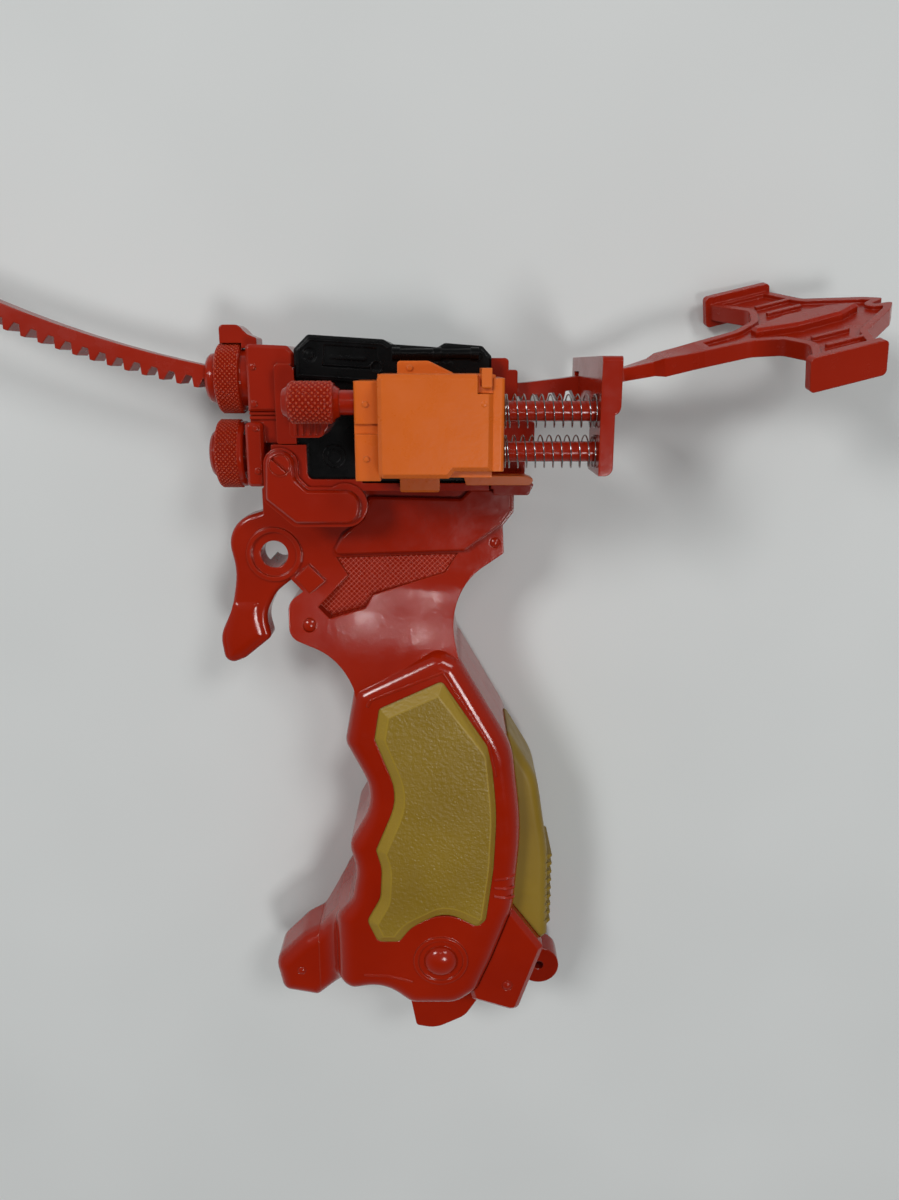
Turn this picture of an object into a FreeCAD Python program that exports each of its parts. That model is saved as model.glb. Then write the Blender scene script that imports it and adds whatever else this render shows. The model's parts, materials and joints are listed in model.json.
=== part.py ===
"""Ripcord launcher for spinning tops, on a pistol grip.

Millimetres. The launcher lies on its side: X points to the pull handle, Y up the grip towards the
launcher, Z away from the surface it lies on. The origin is where the drive gear's axis meets that
surface. The toothed ripcord is one arc that runs over the gear, and it is pulled towards +X.
"""
import os
from math import acos, asin, cos, pi, radians, sin, sqrt, tan

import FreeCAD, Part

V = FreeCAD.Vector

# ---------------------------------------------------------------- driving dimensions
# heights above the surface
GRIP_HALF = 13.1            # grip, from its parting plane to the flat of one shell
INLAY_PROUD = 0.9           # how far a grip inlay stands above its shell
SEAM_Z = GRIP_HALF + INLAY_PROUD
RECEIVER_HALF = 6.0         # receiver, from the parting plane to the flat
TOE_HALF = 6.4              # toe of the grip's foot, from the parting plane to its flat
TRIGGER_THICK = 4.6         # trigger hook and its hub, down from the receiver's flat
PANEL_RISE = 1.5            # raised panel on the receiver
CORD_Z = 18.0               # middle plane of the ripcord, gear and barrels

# ripcord and drive gear
MODULE = 1.0
ARC_TEETH = 400             # teeth that a full circle of the ripcord's curve would hold
GEAR_TEETH = 12
PRESSURE_ANGLE = 20.0
TOOTH_ADDENDUM = 0.85
TOOTH_DEDENDUM = 0.95
BACKLASH = 0.30             # play between the gear and the ripcord, along the pitch line
BAND_THICK = 2.3            # toothless band of the ripcord
BAND_WIDE = 5.0
TAIL_ANGLE = 36.0           # from the gear to the tail end of the ripcord, degrees
NECK_ANGLE = 10.6           # from the gear to the end of the arc on the handle's side, degrees
TEETH_TO_HANDLE = 9         # teeth on the handle's side of the gear
CORD_CLEAR = 0.35           # air round the ripcord in every channel
SHAFT_CLEAR = 0.06          # radial play of a turning or sliding shaft
HUB_SHAFT_R = 2.5
TOP_JOURNAL_R = 1.8

# black launcher housing
HOUSING_LEFT = -21.7
HOUSING_RIGHT = 12.2
HOUSING_BOTTOM = -7.0
HOUSING_BACK = 9.0
HOUSING_FRONT = 28.0
WINDOW_DEPTH = 1.2          # lowered face of the housing inside the cradle's window

# top hub
HUB_R = 8.0
HUB_GAP = 0.4               # between the hub and the housing
HUB_THICK = 2.6
SPIGOT_R = 2.2
CLAWS = 3
HUB_SCREW_R = 0.8
HUB_SCREW_HEAD_R = 1.5
HUB_SCREW_SEAT = 4.4        # height of the shoulder that the screw's head bears on

# barrels on the front tower
BARREL_X = -30.4            # face of the tower that the barrels stand on
BARREL_Y = 10.85            # axis of the upper barrel, on the ripcord's way
BARREL_KNURL_R = 6.0
BARREL_SPACING = 13.6
BARREL_LONG = 8.6
BARREL_DOME_LONG = 2.2
BARREL_BAND_LONG = 4.5      # knurled band

# orange spring box
BOX_LEFT = -6.1
BOX_RIGHT = 13.5
BOX_BOTTOM = -4.05
BOX_TOP = 11.85
BOX_FRONT = 46.7
LID_THICK = 2.1
BOX_WALL = 1.8
STEP_LEFT = -10.2
STEP_FRONT = 42.0

# plunger: plate, rods and springs
ROD_R = 1.6
ROD_SPACING = 6.3
ROD_MID_Y = 3.05
ROD_Z = 43.0
PLATE_X = 28.2
PLATE_THICK = 3.1
PLUNGER_TRAVEL = 7.0
ROD_BEYOND_COLLAR = 7.0      # rod past its collar, inside the spring box
SPRING_R = 2.54             # to the middle of the wire
SPRING_WIRE_R = 0.16
SPRING_TURNS = 12
COLLAR_R = 2.0
COLLAR_LONG = 1.2

# knurled knob
KNOB_Y = 7.35
KNOB_Z = 38.6
KNOB_R = 3.1
KNOB_STUB_R = 2.0
KNOB_BEAD_R = 2.35          # snap bead that holds the knob's stub in the orange step
KNOB_BEAD_X = -8.6
KNOB_BEAD_LONG = 0.8

# release slide
SLIDE_TRAVEL = 2.2

# shells and fasteners
SHELL_WALL = 2.2
SCREW_R = 1.25
SCREW_HEAD_R = 2.4
SCREW_HEAD_HIGH = 1.8
FIT = 0.15                  # air between neighbouring pieces that slide past each other

# ---------------------------------------------------------------- sizes that follow
TOE_FRONT = SEAM_Z + TOE_HALF
CORD_PITCH_R = MODULE * ARC_TEETH / 2
GEAR_PITCH_R = MODULE * GEAR_TEETH / 2
CORD_CENTRE_Y = CORD_PITCH_R + GEAR_PITCH_R
TOOTH_TIP_R = CORD_PITCH_R + TOOTH_ADDENDUM
TOOTH_ROOT_R = CORD_PITCH_R - TOOTH_DEDENDUM
BAND_INNER_R = TOOTH_ROOT_R - BAND_THICK
CORD_BACK = CORD_Z - BAND_WIDE / 2
CORD_FRONT = CORD_Z + BAND_WIDE / 2
GRIP_FRONT = SEAM_Z + GRIP_HALF
FLAT_FRONT = SEAM_Z + RECEIVER_HALF
INLAY_FRONT = GRIP_FRONT + INLAY_PROUD
ROD_YS = (ROD_MID_Y + ROD_SPACING / 2, ROD_MID_Y - ROD_SPACING / 2)
LID_BACK = BOX_FRONT - LID_THICK
CAVITY_RIGHT = BOX_RIGHT - BOX_WALL


# ---------------------------------------------------------------- drawing helpers
def box(x0, x1, y0, y1, z0, z1):
    return Part.makeBox(x1 - x0, y1 - y0, z1 - z0, V(x0, y0, z0))


def post(x, y, z0, z1, r):
    """Cylinder along Z."""
    return Part.makeCylinder(r, z1 - z0, V(x, y, z0))


def bar(x0, x1, y, z, r):
    """Cylinder along X."""
    return Part.makeCylinder(r, x1 - x0, V(x0, y, z), V(1, 0, 0))


def wire_of(corners, z=0.0):
    """Closed wire through corners (x, y) or (x, y, radius), with each radius as a tangent arc."""
    count = len(corners)
    stops = []
    for i, corner in enumerate(corners):
        here = V(corner[0], corner[1], z)
        radius = corner[2] if len(corner) > 2 else 0.0
        if radius <= 0:
            stops.append((here, here, None))
            continue
        back = V(corners[i - 1][0], corners[i - 1][1], z) - here
        ahead = V(corners[(i + 1) % count][0], corners[(i + 1) % count][1], z) - here
        back.normalize()
        ahead.normalize()
        half = back.getAngle(ahead) / 2
        middle = (back + ahead).normalize()
        centre = here + middle * (radius / sin(half))
        reach = radius / tan(half)
        stops.append((here + back * reach, here + ahead * reach, centre - middle * radius))
    edges = []
    for i, (start, end, middle) in enumerate(stops):
        if middle is not None:
            edges.append(Part.Arc(start, middle, end).toShape())
        following = stops[(i + 1) % count][0]
        if end.distanceToPoint(following) > 1e-6:
            edges.append(Part.LineSegment(end, following).toShape())
    return Part.Wire(edges)


def prism(corners, z0, z1):
    return Part.Face(wire_of(corners, z0)).extrude(V(0, 0, z1 - z0))


def join(*shapes):
    return shapes[0].multiFuse(list(shapes[1:])).removeSplitter()


def drill(shape, *tools):
    for tool in tools:
        shape = shape.cut(tool)
    return shape


def edges_at(shape, test):
    """Edges whose every end point passes the test."""
    return [e for e in shape.Edges if e.Vertexes and all(test(v.Point) for v in e.Vertexes)]


def edges_on_level(shape, z):
    return edges_at(shape, lambda p: abs(p.z - z) < 1e-4)


def arc_point(r, angle, z):
    """Point on the ripcord's circle, with the angle from straight below its centre towards +X."""
    return V(r * sin(angle), CORD_CENTRE_Y - r * cos(angle), z)


def arc_y(r, x):
    return CORD_CENTRE_Y - sqrt(r * r - x * x)


def arc_band(r0, r1, a0, a1, z0, z1):
    middle = (a0 + a1) / 2
    edges = [
        Part.Arc(arc_point(r0, a0, z0), arc_point(r0, middle, z0), arc_point(r0, a1, z0)).toShape(),
        Part.LineSegment(arc_point(r0, a1, z0), arc_point(r1, a1, z0)).toShape(),
        Part.Arc(arc_point(r1, a1, z0), arc_point(r1, middle, z0), arc_point(r1, a0, z0)).toShape(),
        Part.LineSegment(arc_point(r1, a0, z0), arc_point(r0, a0, z0)).toShape(),
    ]
    return Part.Face(Part.Wire(edges)).extrude(V(0, 0, z1 - z0))


def cord_channel(x0, x1):
    """Curved tunnel that the ripcord runs through, between two stations along X."""
    return arc_band(BAND_INNER_R - CORD_CLEAR, TOOTH_TIP_R + CORD_CLEAR,
                    asin(x0 / CORD_PITCH_R), asin(x1 / CORD_PITCH_R),
                    CORD_BACK - CORD_CLEAR, CORD_FRONT + CORD_CLEAR)


def turned(profile, y, z):
    """Solid of revolution about an X axis through (y, z), from a list of (x, radius)."""
    points = [V(profile[0][0], y, z)]
    points += [V(x, y + r, z) for x, r in profile]
    points += [V(profile[-1][0], y, z), V(profile[0][0], y, z)]
    face = Part.Face(Part.makePolygon(points))
    return face.revolve(V(0, y, z), V(1, 0, 0), 360)


parts = {}


# ---------------------------------------------------------------- ripcord
def ripcord_tooth(angle):
    slope = tan(radians(PRESSURE_ANGLE))
    half_pitch = pi * MODULE / 4 - BACKLASH / 4
    half_tip = half_pitch - TOOTH_ADDENDUM * slope
    half_root = half_pitch + TOOTH_DEDENDUM * slope
    sunk = BAND_THICK / 4
    corners = []
    for side, r, half in ((-1, TOOTH_ROOT_R - sunk, half_root), (1, TOOTH_ROOT_R - sunk, half_root),
                          (1, TOOTH_ROOT_R, half_root), (1, TOOTH_TIP_R, half_tip),
                          (-1, TOOTH_TIP_R, half_tip), (-1, TOOTH_ROOT_R, half_root)):
        point = arc_point(r, angle + side * half / CORD_PITCH_R, 0)
        corners.append((point.x, point.y))
    return prism(corners, CORD_BACK, CORD_FRONT)


def ripcord():
    pitch_angle = 2 * pi / ARC_TEETH
    neck = radians(NECK_ANGLE)
    tail = radians(TAIL_ANGLE)
    band = arc_band(BAND_INNER_R, TOOTH_ROOT_R, -tail, neck, CORD_BACK, CORD_FRONT)
    first = -int((tail - pitch_angle) / pitch_angle)
    teeth = [ripcord_tooth(k * pitch_angle) for k in range(first, TEETH_TO_HANDLE + 1)]
    return join(band, handle(), *teeth)


HANDLE_REACH = V(28.0, 7.15, 3.5)       # from the end of the arc to the middle of the handle
HANDLE_ACROSS = V(7.6, -12.2, 39.4)     # from the far finger tab to the near one
HANDLE_ALONG = V(0.97, 0.19, 0.0)
HANDLE_HALF = 19.7                      # from the middle to a finger tab
HANDLE_RIM = 1.5                        # half the thickness of the rim, and of the web inside it
HANDLE_WEB = 0.8
STEM_END = -16.0
SIDE = [(STEM_END, 2.6), (-8.0, 3.2, 4.0), (-3.6, 5.8, 2.5), (-1.4, 11.0, 3.0),
        (-5.4, HANDLE_HALF), (6.0, HANDLE_HALF), (8.8, 10.8, 2.0), (17.0, 4.2, 3.0), (19.2, 1.3, 0.6)]
HANDLE_OUTLINE = SIDE + [(15.2, 0.0, 0.5)] + [(c[0], -c[1], *c[2:]) for c in reversed(SIDE)]


def handle_placement():
    """The handle's own axes: X along the pull, Y to the far tab, Z out of the flat of the frame."""
    end = arc_point((BAND_INNER_R + TOOTH_ROOT_R) / 2, radians(NECK_ANGLE), CORD_Z)
    far = V(HANDLE_ACROSS).normalize() * -1
    along = (HANDLE_ALONG - far * HANDLE_ALONG.dot(far)).normalize()
    up = along.cross(far)
    middle = end + HANDLE_REACH
    return FreeCAD.Placement(FreeCAD.Matrix(
        along.x, far.x, up.x, middle.x, along.y, far.y, up.y, middle.y,
        along.z, far.z, up.z, middle.z, 0, 0, 0, 1))


def handle_stem(place):
    """Bar from the end of the band, over a shoulder, to the frame."""
    neck = radians(NECK_ANGLE)
    root = [arc_point(r, neck, z) for r, z in ((BAND_INNER_R, CORD_FRONT), (BAND_INNER_R, CORD_BACK),
                                               (TOOTH_ROOT_R, CORD_BACK), (TOOTH_ROOT_R, CORD_FRONT))]
    foot = [place.multVec(V(STEM_END, y, z)) for y, z in ((-2.6, HANDLE_RIM), (2.6, HANDLE_RIM),
                                                          (2.6, -HANDLE_RIM), (-2.6, -HANDLE_RIM))]
    sections = [root]
    for share, swell in ((0.38, 1.0), (0.5, 1.25), (0.85, 1.05)):
        ring = [a + (b - a) * share for a, b in zip(root, foot)]
        middle = (ring[0] + ring[1] + ring[2] + ring[3]) * 0.25
        sections.append([middle + (point - middle) * swell for point in ring])
    sections.append(foot)
    return Part.makeLoft([Part.makePolygon(ring + ring[:1]) for ring in sections], True, True)


def handle():
    """Flat two-armed frame with a rim, a raised spine and a finger tab at the end of each arm."""
    frame = prism(HANDLE_OUTLINE, -HANDLE_RIM, HANDLE_RIM)
    inside = Part.Face(wire_of(HANDLE_OUTLINE, HANDLE_WEB)).makeOffset2D(-1.3)
    for z in (0.0, -HANDLE_RIM - HANDLE_WEB):
        pocket = inside.extrude(V(0, 0, HANDLE_RIM))
        pocket.translate(V(0, 0, z))
        frame = frame.cut(pocket)
    spine = prism([(-6.0, -1.0), (1.0, -2.9, 1.0), (9.0, -2.6, 1.0), (14.0, 0.0, 0.6),
                   (9.0, 2.6, 1.0), (1.0, 2.9, 1.0), (-6.0, 1.0)], -2.0, 2.4)
    spine = spine.makeChamfer(0.5, edges_on_level(spine, 2.4))
    ribs = [box(0.5, 7.0, y - 0.4, y + 0.4, -HANDLE_RIM, HANDLE_RIM) for y in (-12.5, -8.0, 8.0, 12.5)]
    tabs = []
    for y0, y1 in ((-HANDLE_HALF - 0.2, -HANDLE_HALF + 1.4), (HANDLE_HALF - 0.2, HANDLE_HALF + 1.2)):
        tab = box(-6.2, 6.8, y0, y1, -2.9, 2.9)
        across = [e for e in tab.Edges if abs(e.Vertexes[0].Y - e.Vertexes[1].Y) > 0.1]
        tabs.append(tab.makeFillet(0.8, across))
    place = handle_placement()
    whole = join(frame, spine, *ribs, *tabs)
    whole.Placement = place
    return join(whole, handle_stem(place))


parts["ripcord"] = ripcord()


# ---------------------------------------------------------------- drive gear and hub
GEAR_TIP_R = GEAR_PITCH_R + TOOTH_DEDENDUM - 0.15
GEAR_ROOT_R = GEAR_PITCH_R - TOOTH_ADDENDUM - 0.15
GEAR_BACK = CORD_BACK
GEAR_FRONT = CORD_FRONT
POCKET_CLEAR = 0.4
HUB_FRONT = HOUSING_BACK - HUB_GAP
HUB_BACK = HUB_FRONT - HUB_THICK


def gear_half_angle(r):
    """Half the angle of an involute gear tooth at radius r, thinned by half the backlash."""
    base = GEAR_PITCH_R * cos(radians(PRESSURE_ANGLE))

    def involute(radius):
        rolled = acos(min(1.0, base / radius))
        return tan(rolled) - rolled

    at_pitch = (pi * MODULE / 4 - BACKLASH / 4) / GEAR_PITCH_R
    return at_pitch + involute(GEAR_PITCH_R) - involute(max(r, base))


def drive_gear():
    radii = (GEAR_ROOT_R, GEAR_PITCH_R * 0.955, GEAR_PITCH_R, GEAR_PITCH_R * 1.07, GEAR_TIP_R)
    pinch = (0.80, 0.90, 1.0, 1.0, 1.0)
    corners = []
    for k in range(GEAR_TEETH):
        # a gap of the gear faces the ripcord tooth that points straight down at rest
        middle = pi / 2 + (k + 0.5) * 2 * pi / GEAR_TEETH
        flank = [(r, gear_half_angle(r) * p) for r, p in zip(radii, pinch)]
        for r, half in flank:
            corners.append((r * cos(middle - half), r * sin(middle - half)))
        for r, half in reversed(flank):
            corners.append((r * cos(middle + half), r * sin(middle + half)))
    wheel = prism(corners, GEAR_BACK, GEAR_FRONT)
    shoulder = post(0, 0, HOUSING_FRONT - 12.0, HOUSING_FRONT - 4.0, TOP_JOURNAL_R)
    shaft = post(0, 0, HUB_FRONT, CORD_Z, HUB_SHAFT_R)
    key = box(-1.5, 1.5, -1.5, 1.5, HUB_BACK, HUB_FRONT)
    pilot = post(0, 0, HUB_BACK - 1, HUB_FRONT + 4.0, HUB_SCREW_R)
    return join(wheel, shaft, shoulder, key).cut(pilot)


def top_hub():
    """Disc with hooked claws that hold the top, and a spigot that centres it."""
    disc = post(0, 0, HUB_BACK, HUB_FRONT, HUB_R)
    spigot = post(0, 0, 0, HUB_BACK, SPIGOT_R)
    claws = []
    for k in range(CLAWS):
        turn = 360.0 / CLAWS * k
        wall = post(0, 0, 0, HUB_BACK, HUB_R).cut(post(0, 0, 0, HUB_BACK, HUB_R - 2.0))
        wall = wall.common(box(0, HUB_R, -2.6, 2.6, 0, HUB_BACK))
        hook = post(0, 0, 0, 1.5, HUB_R).cut(post(0, 0, 0, 1.5, HUB_R - 3.2))
        hook = hook.common(box(0, HUB_R, -2.6, 4.4, 0, 1.5))
        claw = wall.fuse(hook)
        claw.rotate(V(0, 0, 0), V(0, 0, 1), turn)
        claws.append(claw)
    socket = box(-1.5, 1.5, -1.5, 1.5, HUB_BACK, HUB_FRONT)
    screw_hole = post(0, 0, HUB_SCREW_SEAT, HUB_BACK, HUB_SCREW_R)
    head_room = post(0, 0, -1, HUB_SCREW_SEAT, HUB_SCREW_HEAD_R)
    return drill(join(disc, spigot, *claws), socket, screw_hole, head_room)


def hub_screw():
    head = post(0, 0, HUB_SCREW_SEAT - 1.4, HUB_SCREW_SEAT, HUB_SCREW_HEAD_R)
    shank = post(0, 0, HUB_SCREW_SEAT, HUB_FRONT + 4.0, HUB_SCREW_R)
    slot = box(-HUB_SCREW_HEAD_R, HUB_SCREW_HEAD_R, -0.25, 0.25, 0, HUB_SCREW_SEAT - 0.8)
    return join(head, shank).cut(slot)


parts["drive_gear"] = drive_gear()
parts["top_hub"] = top_hub()
parts["hub_screw"] = hub_screw()


# ---------------------------------------------------------------- black launcher housing
HOUSING_OUTLINE = [
    (HOUSING_LEFT, HOUSING_BOTTOM, 1.0), (HOUSING_LEFT, 15.85, 0.8), (-19.2, 18.25, 0.8),
    (-6.3, 17.45, 0.8), (-5.0, 16.65, 0.8), (3.0, 16.15, 0.8), (4.2, 16.85, 0.8),
    (10.6, 16.35, 0.8), (HOUSING_RIGHT, 14.65, 0.8), (HOUSING_RIGHT, HOUSING_BOTTOM, 1.0),
]
HOUSING_SCREWS = [(HOUSING_LEFT + 3.2, HOUSING_BOTTOM + 3.2), (HOUSING_RIGHT - 3.0, HOUSING_BOTTOM + 3.0),
                  (HOUSING_LEFT + 3.4, 14.2), (HOUSING_RIGHT - 3.2, 13.2)]
HOUSING_SCREW_R = 0.9
HOUSING_HEAD_R = 1.7


def launcher_base():
    plate = prism(HOUSING_OUTLINE, HOUSING_BACK, CORD_Z)
    cuts = [cord_channel(HOUSING_LEFT - 2, HOUSING_RIGHT + 2),
            post(0, 0, GEAR_BACK - POCKET_CLEAR, CORD_Z, GEAR_TIP_R + POCKET_CLEAR),
            post(0, 0, HOUSING_BACK, CORD_Z, HUB_SHAFT_R + SHAFT_CLEAR)]
    for x, y in HOUSING_SCREWS:
        cuts.append(post(x, y, HOUSING_BACK, CORD_Z, HOUSING_SCREW_R))
        cuts.append(post(x, y, HOUSING_BACK, HOUSING_BACK + 1.4, HOUSING_HEAD_R))
    return drill(plate, *cuts)


def launcher_cover():
    plate = prism(HOUSING_OUTLINE, CORD_Z, HOUSING_FRONT)
    plate = plate.makeChamfer(0.45, edges_on_level(plate, HOUSING_FRONT))
    floor = HOUSING_FRONT - WINDOW_DEPTH
    window = prism([(HOUSING_LEFT - 1, HOUSING_BOTTOM - 1), (STEP_LEFT + 0.8, HOUSING_BOTTOM - 1),
                    (STEP_LEFT + 0.8, 10.3), (HOUSING_LEFT - 1, 11.2)], floor, HOUSING_FRONT)
    sunk = prism([(-16.8, 13.0), (-16.4, 16.6), (-7.4, 16.0), (-7.0, 12.3)],
                 HOUSING_FRONT - 0.5, HOUSING_FRONT)
    ring = post(-18.9, 14.9, HOUSING_FRONT - 0.5, HOUSING_FRONT, 1.15).cut(
        post(-18.9, 14.9, HOUSING_FRONT - 0.5, HOUSING_FRONT, 0.6))
    cuts = [window, sunk, ring, cord_channel(HOUSING_LEFT - 2, HOUSING_RIGHT + 2),
            post(0, 0, CORD_Z, GEAR_FRONT + POCKET_CLEAR, GEAR_TIP_R + POCKET_CLEAR),
            post(0, 0, CORD_Z, HOUSING_FRONT - 3.8, TOP_JOURNAL_R + SHAFT_CLEAR)]
    for x, y in HOUSING_SCREWS:
        cuts.append(post(x, y, CORD_Z, HOUSING_FRONT - 4.0, HOUSING_SCREW_R))
    plate = drill(plate, *cuts)
    rib = prism([(-15.6, 14.3), (-9.4, 13.9), (-9.4, 14.4), (-15.6, 14.8)],
                HOUSING_FRONT - 0.5, HOUSING_FRONT - 0.1)
    pipe = bar(-4.4, 9.8, 15.05, HOUSING_FRONT, 0.9)
    sleeves = [bar(x, x + 1.4, 15.05, HOUSING_FRONT, 1.1) for x in (-4.8, 2.2, 8.6)]
    return join(plate, rib, pipe, *sleeves)


def launcher_screws():
    screws = []
    for x, y in HOUSING_SCREWS:
        head = post(x, y, HOUSING_BACK + 0.1, HOUSING_BACK + 1.4, HOUSING_HEAD_R)
        shank = post(x, y, HOUSING_BACK + 1.4, HOUSING_FRONT - 4.0, HOUSING_SCREW_R)
        screws.append(head.fuse(shank))
    return Part.makeCompound(screws)


parts["launcher_base"] = launcher_base()
parts["launcher_cover"] = launcher_cover()
parts["launcher_screws"] = launcher_screws()


# ---------------------------------------------------------------- cradle that holds the launcher
CRADLE_LEFT = -26.3
CRADLE_BACK = HOUSING_BACK
BEAM_FRONT = 18.0
RECEIVER_TOP = -8.7
WALL_BACK_Y = -8.4          # outer face of the cradle's front wall
LEDGE_FRONT = 23.5
RAIL_HALF = 6.0
RAIL_DEEP = 4.0
LINK_END = (-13.4, -10.85)  # centre of the link cover's round end
LINK_END_R = 3.1


def cradle():
    under = HOUSING_BOTTOM - 0.05
    beam = box(CRADLE_LEFT, 18.6, RECEIVER_TOP, under, CRADLE_BACK, BEAM_FRONT)
    wall = box(CRADLE_LEFT, 12.0, WALL_BACK_Y, under, BEAM_FRONT, HOUSING_FRONT - 0.05)
    side = box(CRADLE_LEFT, HOUSING_LEFT - 0.05, RECEIVER_TOP, -0.35, CRADLE_BACK, HOUSING_FRONT - 0.05)
    lip_back = HOUSING_FRONT - WINDOW_DEPTH + 0.05
    lip = prism([(CRADLE_LEFT, -0.35), (CRADLE_LEFT, WALL_BACK_Y), (STEP_LEFT - 0.2, WALL_BACK_Y),
                 (STEP_LEFT - 0.2, -6.4), (-20.1, -6.4, 1.2), (-20.1, -0.35)],
                lip_back, HOUSING_FRONT - 0.05)
    cheek = prism([(HOUSING_RIGHT + 0.05, HOUSING_BOTTOM - 0.05), (18.6, HOUSING_BOTTOM - 0.05),
                   (18.6, -1.6, 0.5), (20.2, -0.4, 0.5), (20.2, 3.3, 0.5), (17.0, 4.8, 0.5),
                   (17.0, 12.4, 0.5), (15.4, 12.4), (15.4, 14.4, 0.7),
                   (HOUSING_RIGHT + 0.05, 14.4)], CRADLE_BACK, 24.0)
    ledge = prism([(13.0, -9.8), (19.4, -9.8, 0.5), (20.3, -7.9, 0.4), (19.6, -7.05),
                   (13.0, -7.05)], FLAT_FRONT + PANEL_RISE + 0.1, LEDGE_FRONT)
    shelf = box(12.5, 18.6, RECEIVER_TOP, -7.05, CRADLE_BACK, LEDGE_FRONT)
    rail = box(-RAIL_HALF, RAIL_HALF, RECEIVER_TOP - RAIL_DEEP, RECEIVER_TOP, SEAM_Z - 2, SEAM_Z + 2)
    frame = join(beam, wall, side, lip, cheek, shelf, ledge, rail)
    return frame.cut(cord_channel(HOUSING_RIGHT - 1, 24))


parts["cradle"] = cradle()


# ---------------------------------------------------------------- front tower and barrels
TOWER_FRONT = 26.0
TOWER_TOP = 16.75
TOWER_BOTTOM = -7.95
LOW_BARREL_STEP = 0.8       # the lower barrel stands this much further forward


def front_tower():
    upper = prism([(BARREL_X, 5.3), (BARREL_X, TOWER_TOP, 0.8), (-23.1, TOWER_TOP - 0.3, 0.8),
                   (-22.0, 15.2, 0.8), (-22.0, 5.3)], HOUSING_BACK + 0.5, TOWER_FRONT)
    upper = upper.makeChamfer(0.5, edges_on_level(upper, TOWER_FRONT))
    lower = prism([(BARREL_X - LOW_BARREL_STEP, TOWER_BOTTOM, 0.8),
                   (BARREL_X - LOW_BARREL_STEP, 3.4, 0.8), (-28.0, 3.4, 0.8),
                   (-28.0, TOWER_BOTTOM, 0.8)], HOUSING_BACK + 0.5, TOWER_FRONT)
    lower = lower.makeChamfer(0.5, edges_on_level(lower, TOWER_FRONT))
    core = box(BARREL_X, -22.0, -0.25, 5.5, HOUSING_BACK + 0.5, TOWER_FRONT - 1.6)
    foot = box(-29.0, CRADLE_LEFT, TOWER_BOTTOM + 0.4, 0.5, HOUSING_BACK + 0.5, 22.0)
    ridges = [box(BARREL_X, -24.5, y, y + 0.5, TOWER_FRONT - 1.8, TOWER_FRONT - 1.0)
              for y in (3.9, 4.7)]
    column = prism([(-25.2, -0.2, 0.5), (-21.75, -0.2), (-21.75, 12.6, 0.8), (-22.6, 13.35, 0.6),
                    (-25.2, 13.35, 0.6)], TOWER_FRONT - 3.0, HOUSING_FRONT)
    over_band = BARREL_Y + BARREL_KNURL_R + FIT
    over_neck = BARREL_Y + BARREL_KNURL_R * 0.86 + FIT
    band_end = BARREL_X - BARREL_LONG + BARREL_DOME_LONG + BARREL_BAND_LONG + FIT
    fin = prism([(-36.0, over_band), (-36.0, 20.15, 0.8), (-32.6, 20.15, 1.5), (-31.0, 18.5, 1.0),
                 (-29.4, 17.9, 0.4), (-29.4, 15.0), (BARREL_X, 15.0), (BARREL_X, over_neck),
                 (band_end, over_neck), (band_end, over_band)], CORD_Z - 2.6, CORD_Z + 2.6)
    tower = join(upper, lower, core, foot, column, fin, *ridges)
    pips = [post(-29.2, y, TOWER_FRONT - 0.2, TOWER_FRONT + 0.25, 0.5) for y in (12.9, 6.6, 2.4, -5.2)]
    tower = join(tower, *pips)
    return tower.cut(cord_channel(BARREL_X - 8, -20))


def barrel(face_x, y, neck):
    """Domed muzzle, knurled band and neck, from the tip back to the tower."""
    r = BARREL_KNURL_R
    dome = 0.75 * r
    tip = BARREL_X - BARREL_LONG
    band = tip + BARREL_DOME_LONG
    back = band + BARREL_BAND_LONG
    profile = [(tip, dome * 0.72), (tip + 0.3, dome * 0.87), (tip + 0.8, dome * 0.97), (tip + 1.4, dome),
               (band, dome), (band, r * 0.94), (band + 0.3, r), (back - 0.4, r), (back, r * 0.95),
               (back, neck), (face_x, neck)]
    return turned(profile, y, CORD_Z)


parts["front_tower"] = front_tower()
parts["upper_barrel"] = barrel(BARREL_X, BARREL_Y, BARREL_KNURL_R * 0.86).cut(
    cord_channel(BARREL_X - BARREL_LONG - 3, BARREL_X + 1))
parts["lower_barrel"] = barrel(BARREL_X - LOW_BARREL_STEP, BARREL_Y - BARREL_SPACING,
                               BARREL_KNURL_R * 0.6)


# ---------------------------------------------------------------- orange spring box
KNOB_PLAY = SHAFT_CLEAR
SLIDE_BACK = 28.2
SLIDE_FRONT = 31.2
SLIDE_TOP_Y = -5.35
SLIDE_LEFT = 7.4
TONGUE_X = SLIDE_LEFT + 1.6
TONGUE_LONG = 2.0
NECK_FRONT = 30.4           # the hooked tongue: a low neck, then a taller head behind the lip
HEAD_FRONT = 32.0
LIP_Y = SLIDE_TOP_Y + 1.0
HEAD_Y = SLIDE_TOP_Y + 2.3
FLOOR_Z = ROD_Z - COLLAR_R - 0.5


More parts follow.
